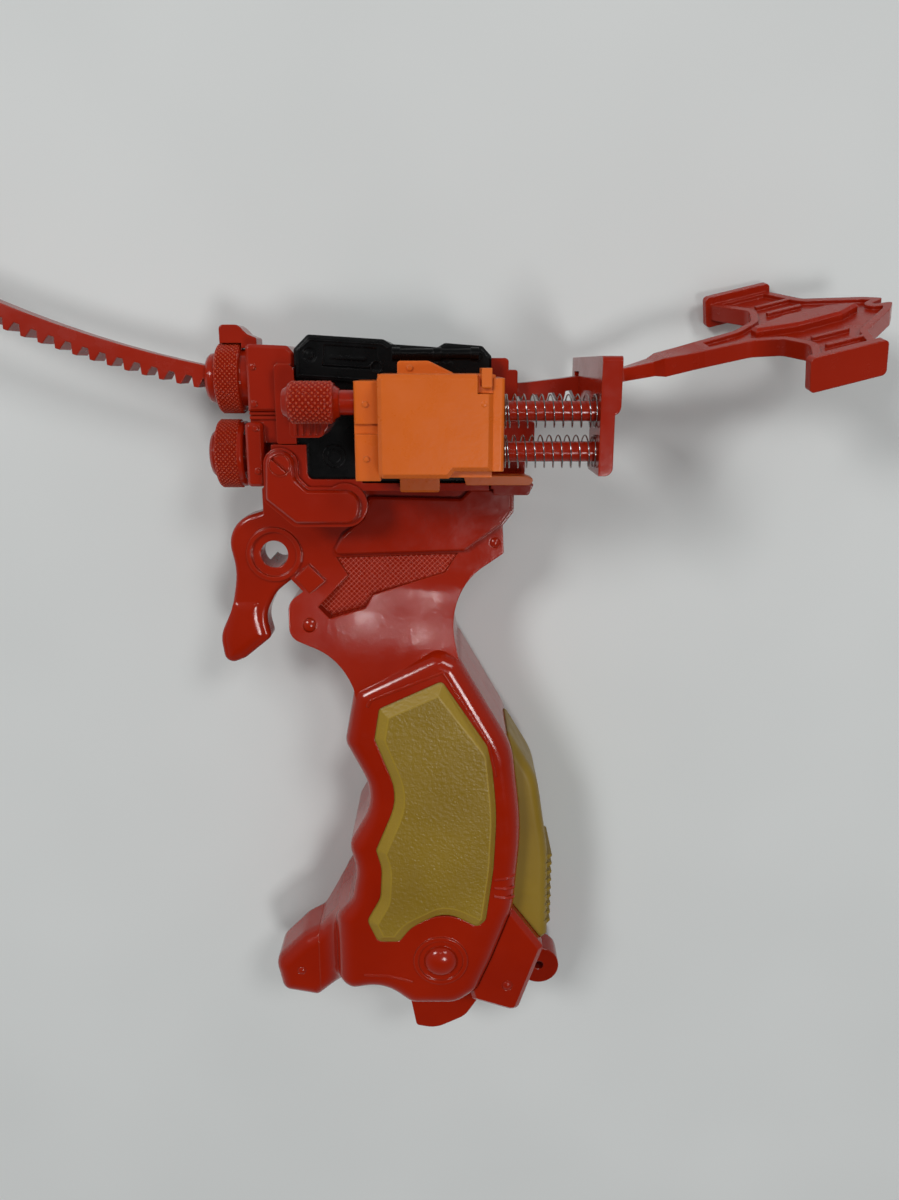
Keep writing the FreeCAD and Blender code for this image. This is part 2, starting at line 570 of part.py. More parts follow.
def spring_box_base():
    z0 = HOUSING_FRONT
    main = box(BOX_LEFT, CAVITY_RIGHT, BOX_BOTTOM, BOX_TOP, z0, LID_BACK)
    end = box(CAVITY_RIGHT, BOX_RIGHT, BOX_BOTTOM + 1.1, BOX_TOP - 0.6, z0, BOX_FRONT - 0.7)
    end = end.makeFillet(0.6, edges_at(end, lambda p: p.x > BOX_RIGHT - 0.01 and p.z > z0 + 1))
    step = box(STEP_LEFT, BOX_LEFT, -4.95, 10.75, z0, STEP_FRONT)
    step = step.makeFillet(0.6, edges_at(step, lambda p: p.x < STEP_LEFT + 0.01 and p.z > z0 + 1))
    ridge = prism([(-3.3, BOX_TOP - 0.5), (-3.3, 13.85, 0.5), (1.6, 13.85, 0.8),
                   (5.6, BOX_TOP + 0.1), (5.6, BOX_TOP - 0.5)], z0, 40.0)
    skirt = box(-3.6, CAVITY_RIGHT, SLIDE_TOP_Y + FIT, BOX_BOTTOM + 0.2, z0, 32.5)
    tab = box(-3.6, 3.3, -8.3, SLIDE_TOP_Y + FIT + 0.2, z0, 31.0)
    tab = tab.makeFillet(0.5, edges_at(tab, lambda p: p.y < -8.29))
    pips = [post(x, y, STEP_FRONT - 0.2, STEP_FRONT + 0.3, 0.45) for x, y in ((-8.3, 7.2), (-8.3, -1.4))]
    pips += [post(-1.3, 12.75, 39.8, 40.3, 0.45)]
    finger = box(9.9, 11.5, BOX_TOP - 0.4, 12.75, 36.0, BOX_FRONT + 0.1)
    hook = box(9.9, 11.5, 9.7, 12.75, LID_BACK + 0.6, BOX_FRONT + 0.1)
    hook = hook.makeFillet(0.4, edges_at(hook, lambda p: p.y < 9.71))
    solid = join(main, end, step, ridge, skirt, tab, finger, hook, *pips)
    cavity = box(BOX_LEFT + BOX_WALL, CAVITY_RIGHT, BOX_BOTTOM + BOX_WALL, BOX_TOP - BOX_WALL,
                 FLOOR_Z, LID_BACK)
    clip_room = box(9.3, CAVITY_RIGHT, 8.9, BOX_TOP - 0.6, LID_BACK, LID_BACK + 0.6)
    groove = box(STEP_LEFT - 1, BOX_LEFT, 2.5, 4.1, STEP_FRONT - 0.7, STEP_FRONT + 1)
    stub = bar(STEP_LEFT - 1, BOX_LEFT + 1.2, KNOB_Y, KNOB_Z, KNOB_STUB_R + KNOB_PLAY)
    bead = bar(KNOB_BEAD_X - 0.1, KNOB_BEAD_X + KNOB_BEAD_LONG + 0.1, KNOB_Y, KNOB_Z,
               KNOB_BEAD_R + KNOB_PLAY)
    bores = [bar(CAVITY_RIGHT - 1, BOX_RIGHT + 1, y, ROD_Z, ROD_R + SHAFT_CLEAR) for y in ROD_YS]
    slot = box(TONGUE_X - SLIDE_TRAVEL - FIT, TONGUE_X + TONGUE_LONG + FIT,
               SLIDE_TOP_Y - 1, HEAD_Y + FIT, z0 - 1, NECK_FRONT + FIT)
    lip_room = box(TONGUE_X - SLIDE_TRAVEL - FIT, TONGUE_X + TONGUE_LONG + FIT,
                   LIP_Y, HEAD_Y + FIT, z0 - 1, HEAD_FRONT + FIT)
    return drill(solid, cavity, clip_room, groove, stub, bead, slot, lip_room, *bores)


def spring_box_cover():
    lid = prism([(BOX_LEFT, BOX_BOTTOM, 0.9), (4.9, BOX_BOTTOM), (5.8, BOX_BOTTOM + 1.1),
                 (CAVITY_RIGHT, BOX_BOTTOM + 1.1), (CAVITY_RIGHT, BOX_TOP),
                 (BOX_LEFT, BOX_TOP, 0.9)], LID_BACK, BOX_FRONT)
    lid = lid.makeChamfer(0.7, edges_on_level(lid, BOX_FRONT))
    pocket = box(BOX_LEFT + BOX_WALL, CAVITY_RIGHT, BOX_BOTTOM + BOX_WALL, 8.6, LID_BACK,
                 ROD_Z + COLLAR_R + 0.3)
    notch = box(9.3, 12.1, 8.9, BOX_TOP + 1, LID_BACK, BOX_FRONT + 1)
    pip = post(10.3, 7.4, BOX_FRONT - 0.2, BOX_FRONT + 0.0, 0.45)
    return join(drill(lid, pocket, notch), pip)


def release_slide():
    body = prism([(SLIDE_LEFT, SLIDE_TOP_Y), (SLIDE_LEFT + 0.5, -7.0, 0.3), (19.0, -7.0, 0.8),
                  (19.7, -5.9, 0.5), (18.2, SLIDE_TOP_Y, 0.4)], SLIDE_BACK, SLIDE_FRONT)
    neck = box(TONGUE_X, TONGUE_X + TONGUE_LONG, SLIDE_TOP_Y - 0.5, HEAD_Y, SLIDE_BACK, NECK_FRONT)
    head = box(TONGUE_X, TONGUE_X + TONGUE_LONG, LIP_Y + FIT, HEAD_Y, SLIDE_BACK, HEAD_FRONT)
    return join(body, neck, head)


parts["spring_box_base"] = spring_box_base()
parts["spring_box_cover"] = spring_box_cover()
parts["release_slide"] = release_slide()


# ---------------------------------------------------------------- plunger
PLATE_TOP = 14.55
PLATE_BOTTOM = -3.6
PLATE_STEP_Y = 5.6
PLATE_DEEP_BACK = 12.0
PLATE_ARM_BACK = 35.7
SOCKET_DEEP = 2.0


def plunger_plate():
    x0 = PLATE_X
    x1 = PLATE_X + PLATE_THICK
    deep = box(x0, x1, PLATE_STEP_Y, PLATE_TOP, PLATE_DEEP_BACK, BOX_FRONT)
    deep = deep.makeFillet(1.5, edges_at(deep, lambda p: p.x > x1 - 0.01 and p.y < PLATE_STEP_Y + 0.01))
    arm = box(x0, x1 - 0.9, PLATE_BOTTOM, 10.0, PLATE_ARM_BACK, BOX_FRONT)
    arm = arm.makeFillet(1.3, edges_at(arm, lambda p: p.x > x1 - 1.0 and p.y < PLATE_BOTTOM + 0.01))
    plate = join(deep, arm)
    tops = edges_at(plate, lambda p: p.y > PLATE_TOP - 0.01 and p.z > BOX_FRONT - 0.01)
    plate = plate.makeFillet(0.9, tops)
    low = arc_y(TOOTH_TIP_R, x0 - PLUNGER_TRAVEL) - CORD_CLEAR
    high = arc_y(BAND_INNER_R, x1) + CORD_CLEAR
    slot = box(x0 - 1, x1 + 1, low, high, CORD_BACK - CORD_CLEAR, CORD_FRONT + CORD_CLEAR)
    sockets = [bar(x0 - 1, x0 + SOCKET_DEEP, y, ROD_Z, ROD_R) for y in ROD_YS]
    return drill(plate, slot, *sockets)


def guide_rod(y):
    return bar(CAVITY_RIGHT - ROD_BEYOND_COLLAR - COLLAR_LONG, PLATE_X + SOCKET_DEEP, y, ROD_Z, ROD_R)


def coil_spring(y):
    margin = SPRING_WIRE_R + 0.04
    length = PLATE_X - BOX_RIGHT - 2 * margin
    path = Part.makeHelix(length / SPRING_TURNS, length, SPRING_R)
    section = Part.Wire(Part.makeCircle(SPRING_WIRE_R, V(SPRING_R, 0, 0), V(0, 1, 0)))
    wire = Part.Wire(path.Edges).makePipeShell([section], True, True)
    wire.rotate(V(0, 0, 0), V(0, 1, 0), 90)
    wire.translate(V(BOX_RIGHT + margin, y, ROD_Z))
    return wire


def rod_collars():
    x1 = CAVITY_RIGHT - FIT
    rings = [bar(x1 - COLLAR_LONG, x1, y, ROD_Z, COLLAR_R).cut(bar(x1 - 2, x1 + 1, y, ROD_Z, ROD_R))
             for y in ROD_YS]
    return Part.makeCompound(rings)


parts["plunger_plate"] = plunger_plate()
for name, rod_y in zip(("upper", "lower"), ROD_YS):
    parts["guide_rod_" + name] = guide_rod(rod_y)
    parts["coil_spring_" + name] = coil_spring(rod_y)
parts["rod_collars"] = rod_collars()


# ---------------------------------------------------------------- knob and thumb pad
def lock_knob():
    x0 = -20.9
    x1 = -13.6
    profile = [(x0 - 1.0, KNOB_R * 0.7), (x0, KNOB_R * 0.9), (x0, KNOB_R), (x1, KNOB_R),
               (x1, KNOB_R * 0.9), (x1 + 0.9, KNOB_R * 0.72), (x1 + 0.9, KNOB_STUB_R),
               (KNOB_BEAD_X, KNOB_STUB_R), (KNOB_BEAD_X + 0.2, KNOB_BEAD_R),
               (KNOB_BEAD_X + KNOB_BEAD_LONG, KNOB_BEAD_R),
               (KNOB_BEAD_X + KNOB_BEAD_LONG, KNOB_STUB_R), (BOX_LEFT + 1.0, KNOB_STUB_R)]
    return turned(profile, KNOB_Y, KNOB_Z)


def thumb_pad():
    z0 = HOUSING_FRONT - WINDOW_DEPTH
    top = KNOB_Z - KNOB_R - 0.3
    block = prism([(-21.65, 9.9, 0.4), (-21.65, 1.45, 0.8), (-16.3, 1.45, 1.4), (-15.2, 3.2, 0.6),
                   (-15.2, 9.9, 0.4)], z0, top)
    ribs = [box(x, x + 0.45, 1.9, 3.9, top - 0.2, top + 0.45) for x in (-20.8, -19.7, -18.6, -17.5, -16.4)]
    return join(block, *ribs)


parts["lock_knob"] = lock_knob()
parts["thumb_pad"] = thumb_pad()


# ---------------------------------------------------------------- link cover and its screw
LINK_STEP = HOUSING_FRONT + 0.9
LINK_FRONT = HOUSING_FRONT + 2.0
LINK_RIM = 0.8              # how far the lower step stands out round the arm's end
TURN_SCREW = (-24.5, -3.65)
TURN_SCREW_R = 1.75


def link_cover():
    """Low arm with a rim round it, on a pedestal that stands on the receiver."""
    right = LINK_END[0] + LINK_END_R
    top = LINK_END[1] + LINK_END_R
    bottom = LINK_END[1] - LINK_END_R
    round_r = LINK_END_R - 0.05
    rim = [(-27.5, -0.8, 2.85), (-21.6, -0.8, 2.85), (-21.6, -5.8, 1.2), (-19.8, top + 0.1, 1.0),
           (right, top + 0.1, round_r), (right, bottom - LINK_RIM, round_r),
           (-22.6, bottom - LINK_RIM, 1.2), (-27.8, -10.2, 1.0)]
    arm = [(-27.0, -1.3, 2.3), (-22.1, -1.3, 2.3), (-22.1, -6.1, 1.2), (-20.0, top - 0.4, 1.0),
           (right - 0.5, top - 0.4, round_r - 0.5), (right - 0.5, bottom, round_r - 0.5),
           (-22.2, bottom, 1.2), (-27.3, -9.7, 1.0)]
    plate = prism(rim, HOUSING_FRONT, LINK_STEP)
    disc = post(*LINK_END, HOUSING_FRONT, LINK_STEP, LINK_END_R + LINK_RIM)
    raised = prism(arm, LINK_STEP, LINK_FRONT)
    raised = raised.makeChamfer(0.4, edges_on_level(raised, LINK_FRONT))
    below = [(-27.55, RECEIVER_TOP - 0.05), (right - 0.4, RECEIVER_TOP - 0.05),
             (right - 0.2, bottom, round_r), (-22.3, bottom, 1.2), (-27.6, -9.75, 1.0)]
    pedestal = prism(below, FLAT_FRONT, HOUSING_FRONT)
    plate = join(plate, disc, raised)
    screw_hole = post(*TURN_SCREW, HOUSING_FRONT, LINK_FRONT, TURN_SCREW_R)
    return join(plate, pedestal).cut(screw_hole)


def turn_screw():
    head = post(*TURN_SCREW, HOUSING_FRONT, LINK_FRONT + 0.1, TURN_SCREW_R)
    shank = post(*TURN_SCREW, HOUSING_FRONT - 6.0, HOUSING_FRONT, 1.1)
    slot = box(-TURN_SCREW_R, TURN_SCREW_R, -0.25, 0.25, LINK_FRONT - 0.5, LINK_FRONT + 1)
    slot.rotate(V(0, 0, 0), V(0, 0, 1), -42)
    slot.translate(V(TURN_SCREW[0], TURN_SCREW[1], 0))
    return join(head, shank).cut(slot)


parts["cradle"] = parts["cradle"].cut(post(*TURN_SCREW, HOUSING_FRONT - 6.0, HOUSING_FRONT, 1.1))
parts["link_cover"] = link_cover()
parts["turn_screw"] = turn_screw()


# ---------------------------------------------------------------- grip shells
GRIP_EDGE = 3.0             # rounding along the edge of the grip
TOE_SEAM = -22.8            # where the toe cap meets the shells
SLOPE_TOP_X = -14.4         # where the near face starts to drop to the toe
SLOPE_PITCH = 1.164         # length of that drop for each millimetre of its height
SLOPE_FOOT_X = SLOPE_TOP_X - SLOPE_PITCH * (GRIP_FRONT - TOE_FRONT)
GRIP_OUTLINE = [
    (-13.2, -46.6, 2.6), (2.9, -38.7, 3.4), (6.9, -40.6, 3.4), (17.2, -58.6, 16.0),
    (19.4, -76.0, 60.0), (18.0, -94.0, 12.0), (13.8, -106.0, 20.0), (10.8, -113.4, 4.4),
    (6.6, -116.6, 6.0), (-3.0, -116.6, 4.0), (-8.8, -112.0, 8.0), (-15.6, -113.2, 7.0),
    (-23.4, -119.9, 1.0), (-31.2, -118.4, 2.0), (-32.6, -111.2, 3.6), (-26.4, -104.9, 5.0),
    (-22.6, -102.8, 3.0), (-18.9, -97.0, 12.0), (-14.9, -92.4, 6.0), (-13.7, -85.4, 10.0),
    (-15.2, -79.8, 4.0), (-9.4, -69.5, 11.0), (-15.3, -57.6, 3.4),
]
INLAY_OUTLINE = [
    (-8.4, -50.0, 1.0), (3.6, -44.4, 1.0), (12.9, -58.6, 6.0), (14.3, -72.0, 60.0),
    (13.8, -84.0, 40.0), (12.4, -95.6, 1.6), (10.7, -97.4, 1.6), (4.2, -93.6, 8.0),
    (-2.8, -97.4, 8.0), (-5.2, -100.7, 1.4), (-9.6, -100.7, 1.6), (-11.7, -95.8, 2.0),
    (-8.9, -90.6, 5.0), (-8.5, -84.0, 8.0), (-9.6, -79.9, 1.2), (-4.9, -68.3, 12.0),
    (-9.4, -56.2, 1.2),
]
RECEIVER_OUTLINE = [
    (-29.9, RECEIVER_TOP, 0.6), (17.0, RECEIVER_TOP, 0.6), (17.0, -13.4, 0.8), (15.0, -16.0, 0.6),
    (15.3, -21.3, 0.8), (4.2, -29.0, 13.0), (7.0, -42.0), (4.0, -52.0), (-12.0, -54.0),
    (-13.2, -46.4, 4.0), (-15.6, -40.7, 12.0), (-25.4, -36.9, 3.0), (-25.7, -30.6, 2.6),
    (-22.9, -28.6), (-25.6, -26.0), (-29.9, -24.0),
]
TRIGGER_OUTLINE = [
    (-24.0, -13.3), (-29.9, -13.3, 0.8), (-37.6, -15.6, 6.0), (-35.6, -25.0, 14.0),
    (-36.9, -32.0, 12.0), (-39.6, -37.8, 6.0), (-38.8, -43.9, 1.8), (-34.9, -42.3, 1.6),
    (-29.6, -38.0, 1.4), (-30.6, -33.6, 6.0), (-28.3, -29.0, 6.0), (-22.0, -24.0),
]
HUB = (-28.2, -21.5)
HUB_BORE_R = 2.6
BOSS = (3.2, -105.1)
MESH_OUTLINE = [(-16.5, -22.1), (6.6, -21.3), (4.2, -25.0), (-9.6, -29.2), (-11.0, -31.6),
                (-17.8, -33.5), (-20.0, -31.4), (-14.3, -25.6)]
PANEL_OUTLINE = [(-10.1, -10.4, 0.8), (7.1, -10.8, 0.8), (8.9, -8.95, 0.8), (16.6, -8.95, 0.8),
                 (16.6, -13.0, 0.8), (14.7, -15.6, 0.8), (7.9, -20.6, 1.0), (-17.3, -21.4, 0.8),
                 (-15.1, -17.7, 0.8), (-11.1, -14.3, 0.8)]
PIN_SPOTS = ((-21.6, -34.7, 1.25, 23.4), (13.6, -19.3, 0.95, FLAT_FRONT + 0.3))  # x, y, radius, top
FOOT_PINS = ((-26.7, -112.6, 0.9, TOE_FRONT + 0.3), (17.1, -112.8, 1.1, 25.3))
PIN_DEEP = 2.0
SCREW_SPOTS = ((-20.6, -35.9), (11.4, -14.4), (-10.4, -53.4), (-12.6, -105.6), (7.6, -110.6))


def neck_profile(rise):
    """Side view of the receiver: flat under the launcher, then a smooth rise into the grip."""
    z0 = SEAM_Z
    flat = FLAT_FRONT
    top = flat + rise
    curve = Part.BSplineCurve()
    curve.interpolate([V(-60, -24.0, flat), V(-60, -29.0, flat + rise * 0.16),
                       V(-60, -35.0, flat + rise * 0.52), V(-60, -41.0, flat + rise * 0.87),
                       V(-60, -47.0, top)], InitialTangent=V(0, -1, 0), FinalTangent=V(0, -1, 0))
    edges = [Part.LineSegment(V(-60, 0, z0), V(-60, 0, flat)).toShape(),
             Part.LineSegment(V(-60, 0, flat), V(-60, -24.0, flat)).toShape(), curve.toShape(),
             Part.LineSegment(V(-60, -47.0, top), V(-60, -60.0, top)).toShape(),
             Part.LineSegment(V(-60, -60.0, top), V(-60, -60.0, z0)).toShape(),
             Part.LineSegment(V(-60, -60.0, z0), V(-60, 0, z0)).toShape()]
    return Part.Face(Part.Wire(edges)).extrude(V(120, 0, 0))


def inset_prism(corners, inset, z0, z1):
    face = Part.Face(wire_of(corners, z0))
    return face.makeOffset2D(-inset).extrude(V(0, 0, z1 - z0))


def foot_profile():
    """End view of the grip: full depth, then two tangent arcs down to the thinner toe."""
    run = SLOPE_TOP_X - SLOPE_FOOT_X
    drop = GRIP_FRONT - TOE_FRONT
    r = (run * run + drop * drop) / (4 * drop)
    turn = asin(run / 2 / r)
    y = -140
    top = V(SLOPE_TOP_X, y, GRIP_FRONT)
    middle = V(SLOPE_TOP_X - run / 2, y, GRIP_FRONT - drop / 2)
    foot = V(SLOPE_FOOT_X, y, TOE_FRONT)
    above = V(top.x - r * sin(turn / 2), y, top.z - r + r * cos(turn / 2))
    below = V(foot.x + r * sin(turn / 2), y, foot.z + r - r * cos(turn / 2))
    corners = [foot, V(-60, y, TOE_FRONT), V(-60, y, SEAM_Z), V(60, y, SEAM_Z),
               V(60, y, GRIP_FRONT), top]
    edges = [Part.Arc(top, above, middle).toShape(), Part.Arc(middle, below, foot).toShape()]
    edges += [Part.LineSegment(a, b).toShape() for a, b in zip(corners, corners[1:])]
    return Part.Face(Part.Wire(edges)).extrude(V(0, 140, 0))


def grip_half():
    """Outside of one half of the grip with its toe."""
    grip = prism(GRIP_OUTLINE, SEAM_Z, GRIP_FRONT).common(foot_profile())
    rim = edges_at(grip, lambda p: p.z > TOE_FRONT - 1e-4)
    return grip.makeFillet(GRIP_EDGE, [e for e in rim if e.Length > 1e-3])


def plain_half():
    """Outside of one half, on the near side of the parting plane."""
    neck_rise = GRIP_HALF - RECEIVER_HALF - 1.0
    grip = grip_half().common(box(TOE_SEAM, 40, -130, 0, SEAM_Z - 1, GRIP_FRONT + 1))
    receiver = prism(RECEIVER_OUTLINE, SEAM_Z, GRIP_FRONT).common(neck_profile(neck_rise))
    half = join(grip, receiver)
    boss_ring = post(*BOSS, GRIP_FRONT - 0.2, GRIP_FRONT + 0.35, 5.5).cut(
        post(*BOSS, GRIP_FRONT - 1, GRIP_FRONT + 1, 4.6))
    diamond = prism([(-21.6, -23.4), (-18.6, -26.4), (-21.6, -28.9), (-24.3, -25.9)],
                    FLAT_FRONT - 0.2, FLAT_FRONT + 1.2)
    panel = prism(PANEL_OUTLINE, FLAT_FRONT - 0.2, FLAT_FRONT + PANEL_RISE)
    panel = panel.makeChamfer(0.4, edges_on_level(panel, FLAT_FRONT + PANEL_RISE))
    return join(half, boss_ring, diamond, panel)


def trigger_hook():
    """Finger hook and its ringed hub, one thin plate on the near shell."""
    back = FLAT_FRONT - TRIGGER_THICK
    hook = prism(TRIGGER_OUTLINE, back, FLAT_FRONT)
    hook = hook.makeFillet(1.0, [e for e in edges_on_level(hook, FLAT_FRONT)
                                 if e.CenterOfMass.x < -28.2])
    ring = post(*HUB, FLAT_FRONT - 0.2, FLAT_FRONT + 0.6, 5.2).cut(
        post(*HUB, FLAT_FRONT - 1, FLAT_FRONT + 1, 4.3))
    return join(hook, ring)


def half_shell(near):
    """One shell: hollow, with posts for the screws. The far shell is the near one mirrored."""
    half = plain_half()
    if near:
        half = join(half, trigger_hook())
    roof = GRIP_FRONT - SHELL_WALL - 2.4
    low_roof = FLAT_FRONT - SHELL_WALL
    cavity = inset_prism(GRIP_OUTLINE, SHELL_WALL, SEAM_Z, roof).common(
        box(SLOPE_TOP_X, 40, -125, -47.0, SEAM_Z, roof))
    cavity_top = box(-12.0, 8.0, -27.0, -14.0, SEAM_Z, low_roof)
    posts = [post(x, y, SEAM_Z, roof, 2.6) for x, y in SCREW_SPOTS[2:]]
    seat = post(*BOSS, GRIP_FRONT - 2.0, GRIP_FRONT + 1, 3.4)
    inlay_seat = prism(INLAY_OUTLINE, GRIP_FRONT - 2.4, GRIP_FRONT + 1)
    mesh = prism(MESH_OUTLINE, FLAT_FRONT - 0.5, FLAT_FRONT + 5).common(
        box(-40, 40, -60, 0, FLAT_FRONT - 0.5, FLAT_FRONT + 5))
    rail = box(-RAIL_HALF, RAIL_HALF, RECEIVER_TOP - RAIL_DEEP, RECEIVER_TOP + 1, SEAM_Z, SEAM_Z + 2)
    bore = post(*HUB, SEAM_Z - 1, FLAT_FRONT + 1, HUB_BORE_R)
    half = drill(half, cavity.cut(Part.makeCompound(posts)), cavity_top, seat, inlay_seat, mesh,
                 rail, bore)
    if near:
        pins = [post(x, y, top - PIN_DEEP, top + 6, r) for x, y, r, top in PIN_SPOTS]
        pilots = [post(x, y, SEAM_Z, SEAM_Z + screw_reach(y), SCREW_R) for x, y in SCREW_SPOTS]
        return drill(half, *pins, *pilots)
    half = half.mirror(V(0, 0, SEAM_Z), V(0, 0, 1))
    holes = []
    for x, y in SCREW_SPOTS:
        back = screw_back(y)
        holes.append(post(x, y, back - 2, SEAM_Z, SCREW_R))
        holes.append(post(x, y, back - 4, back + SCREW_HEAD_HIGH, SCREW_HEAD_R))
    return drill(half, *holes)


def screw_back(y):
    """Height of the sunk screw seat: deeper in the grip than in the thin receiver."""
    return 3.4 if y < -40 else SEAM_Z - RECEIVER_HALF + 0.4


def screw_reach(y):
    return 6.0 if y < -40 else 4.0


def shell_screws():
    screws = []
    for x, y in SCREW_SPOTS:
        back = screw_back(y)
        head = post(x, y, back, back + SCREW_HEAD_HIGH, SCREW_HEAD_R)
        shank = post(x, y, back + SCREW_HEAD_HIGH, SEAM_Z + screw_reach(y), SCREW_R)
        recess = box(x - 1.4, x + 1.4, y - 0.3, y + 0.3, back - 1, back + 0.9).fuse(
            box(x - 0.3, x + 0.3, y - 1.4, y + 1.4, back - 1, back + 0.9))
        screws.append(head.fuse(shank).cut(recess))
    return Part.makeCompound(screws)


def inlay(near):
    pad = prism(INLAY_OUTLINE, GRIP_FRONT - 2.4, INLAY_FRONT)
    pad = pad.makeChamfer(0.8, edges_on_level(pad, INLAY_FRONT))
    return pad if near else pad.mirror(V(0, 0, SEAM_Z), V(0, 0, 1))


def boss_caps():
    """Dome in the boss of each shell."""
    caps = []
    for side in (1, -1):
        z0 = SEAM_Z + side * (GRIP_HALF - 2.0)
        plug = post(*BOSS, min(z0, z0 + side * 2.0), max(z0, z0 + side * 2.0), 3.4)
        dome_r = 7.2
        ball = Part.makeSphere(dome_r, V(BOSS[0], BOSS[1], SEAM_Z + side * (INLAY_FRONT - SEAM_Z - dome_r)))
        column = post(*BOSS, min(z0, z0 + side * 4.0), max(z0, z0 + side * 4.0), 3.4)
        caps.append(plug.fuse(ball.common(column)).removeSplitter())
    return caps


parts["near_shell"] = half_shell(True)
parts["far_shell"] = half_shell(False)
parts["near_inlay"] = inlay(True)
parts["far_inlay"] = inlay(False)
parts["near_boss_cap"], parts["far_boss_cap"] = boss_caps()
parts["shell_screws"] = shell_screws()


# ---------------------------------------------------------------- strap, heel, toe, foot and ring
def grip_block():
    return prism(GRIP_OUTLINE, -1, GRIP_FRONT + 2)


STRAP_HALF = 8.0
RING_HOLE = (25.2, -118.2)
RING_R = 4.4
HEEL_HALF = 11.0
HEEL_OUTLINE = [(16.0, -92.2), (17.4, -94.2), (24.5, -103.9, 1.0), (19.4, -119.2, 1.6),
                (17.6, -119.2, 1.2), (9.9, -116.7), (8.0, -110.0)]


def back_strap():
    outline = [(14.0, -57.0), (17.0, -57.6, 1.0), (22.6, -67.0, 14.0), (25.3, -84.0, 40.0),
               (25.6, -103.0), (24.6, -104.0), (14.0, -90.0)]
    strap = prism(outline, SEAM_Z - STRAP_HALF, SEAM_Z + STRAP_HALF)
    edge = edges_at(strap, lambda p: p.x > 20.0 and p.y > -108.0)
    strap = strap.makeFillet(2.0, [e for e in edge if abs(e.Vertexes[0].Z - e.Vertexes[-1].Z) < 1e-4])
    teeth = []
    for k in range(9):
        y = -84.4 - 1.9 * k
        notch = prism([(24.7, y), (26.5, y + 1.0), (26.5, y - 1.2)], 0, 2 * SEAM_Z)
        teeth.append(notch)
    heel = Part.Face(wire_of(HEEL_OUTLINE)).makeOffset2D(0.05).extrude(V(0, 0, 2 * SEAM_Z))
    return drill(strap, grip_block(), heel, *teeth)


def heel_block():
    block = prism(HEEL_OUTLINE, SEAM_Z - HEEL_HALF, SEAM_Z + HEEL_HALF)
    for level in (SEAM_Z - HEEL_HALF, SEAM_Z + HEEL_HALF):
        block = block.makeChamfer(1.0, edges_on_level(block, level))
    x, y, r, top = FOOT_PINS[1]
    return drill(block, grip_block(), post(x, y, top - PIN_DEEP, top + 1, r))


def toe_cap():
    """Hollow cap over the front of the grip's foot, across both shells."""
    half = grip_half().common(box(-50, TOE_SEAM, -130, 0, SEAM_Z - 1, GRIP_FRONT + 1))
    hollow = inset_prism(GRIP_OUTLINE, SHELL_WALL, SEAM_Z, TOE_FRONT - SHELL_WALL)
    half = half.cut(hollow.common(box(-50, TOE_SEAM + 1, -130, 0, SEAM_Z - 1, TOE_FRONT)))
    x, y, r, top = FOOT_PINS[0]
    return join(half, half.mirror(V(0, 0, SEAM_Z), V(0, 0, 1))).cut(post(x, y, top - PIN_DEEP, top + 1, r))


def bottom_lug():
    outline = [(-5.0, -112.0), (-2.2, -127.4, 0.8), (2.0, -128.2, 6.0), (8.4, -125.0, 5.0),
               (11.9, -119.4), (12.0, -112.0)]
    return drill(prism(outline, SEAM_Z - 5, SEAM_Z + 5), grip_block(),
                 prism(HEEL_OUTLINE, 0, 2 * SEAM_Z))


def strap_ring():
    x, y = RING_HOLE
    lug = post(x, y, 5.0, 11.0, RING_R).fuse(box(18.0, x, y - 3.4, y + 3.4, 5.0, 11.0))
    hole = post(x, y, 0, 20, 1.0)
    return drill(lug, hole, prism(HEEL_OUTLINE, 0, 2 * SEAM_Z))


def pin_heads():
    """Low domed pins in the receiver, the toe and the heel."""
    heads = []
    for x, y, r, top in PIN_SPOTS + FOOT_PINS:
        stem = post(x, y, top - PIN_DEEP, top, r)
        ball = Part.makeSphere(r * 1.6, V(x, y, top - r * 1.6))
        heads.append(stem.common(ball.fuse(post(x, y, top - PIN_DEEP, top - r * 0.35, r))))
    return Part.makeCompound(heads)


parts["back_strap"] = back_strap()
parts["heel_block"] = heel_block()
parts["toe_cap"] = toe_cap()
parts["bottom_lug"] = bottom_lug()
parts["strap_ring"] = strap_ring()
parts["pin_heads"] = pin_heads()

# ---------------------------------------------------------------- files
if __name__ == "__main__":
    os.makedirs("parts", exist_ok=True)
    for name, shape in parts.items():
        shape.exportStep(os.path.join("parts", name + ".step"))
        print(name, len(shape.Solids), round(shape.Volume, 1), shape.isValid())
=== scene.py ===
import json
import math

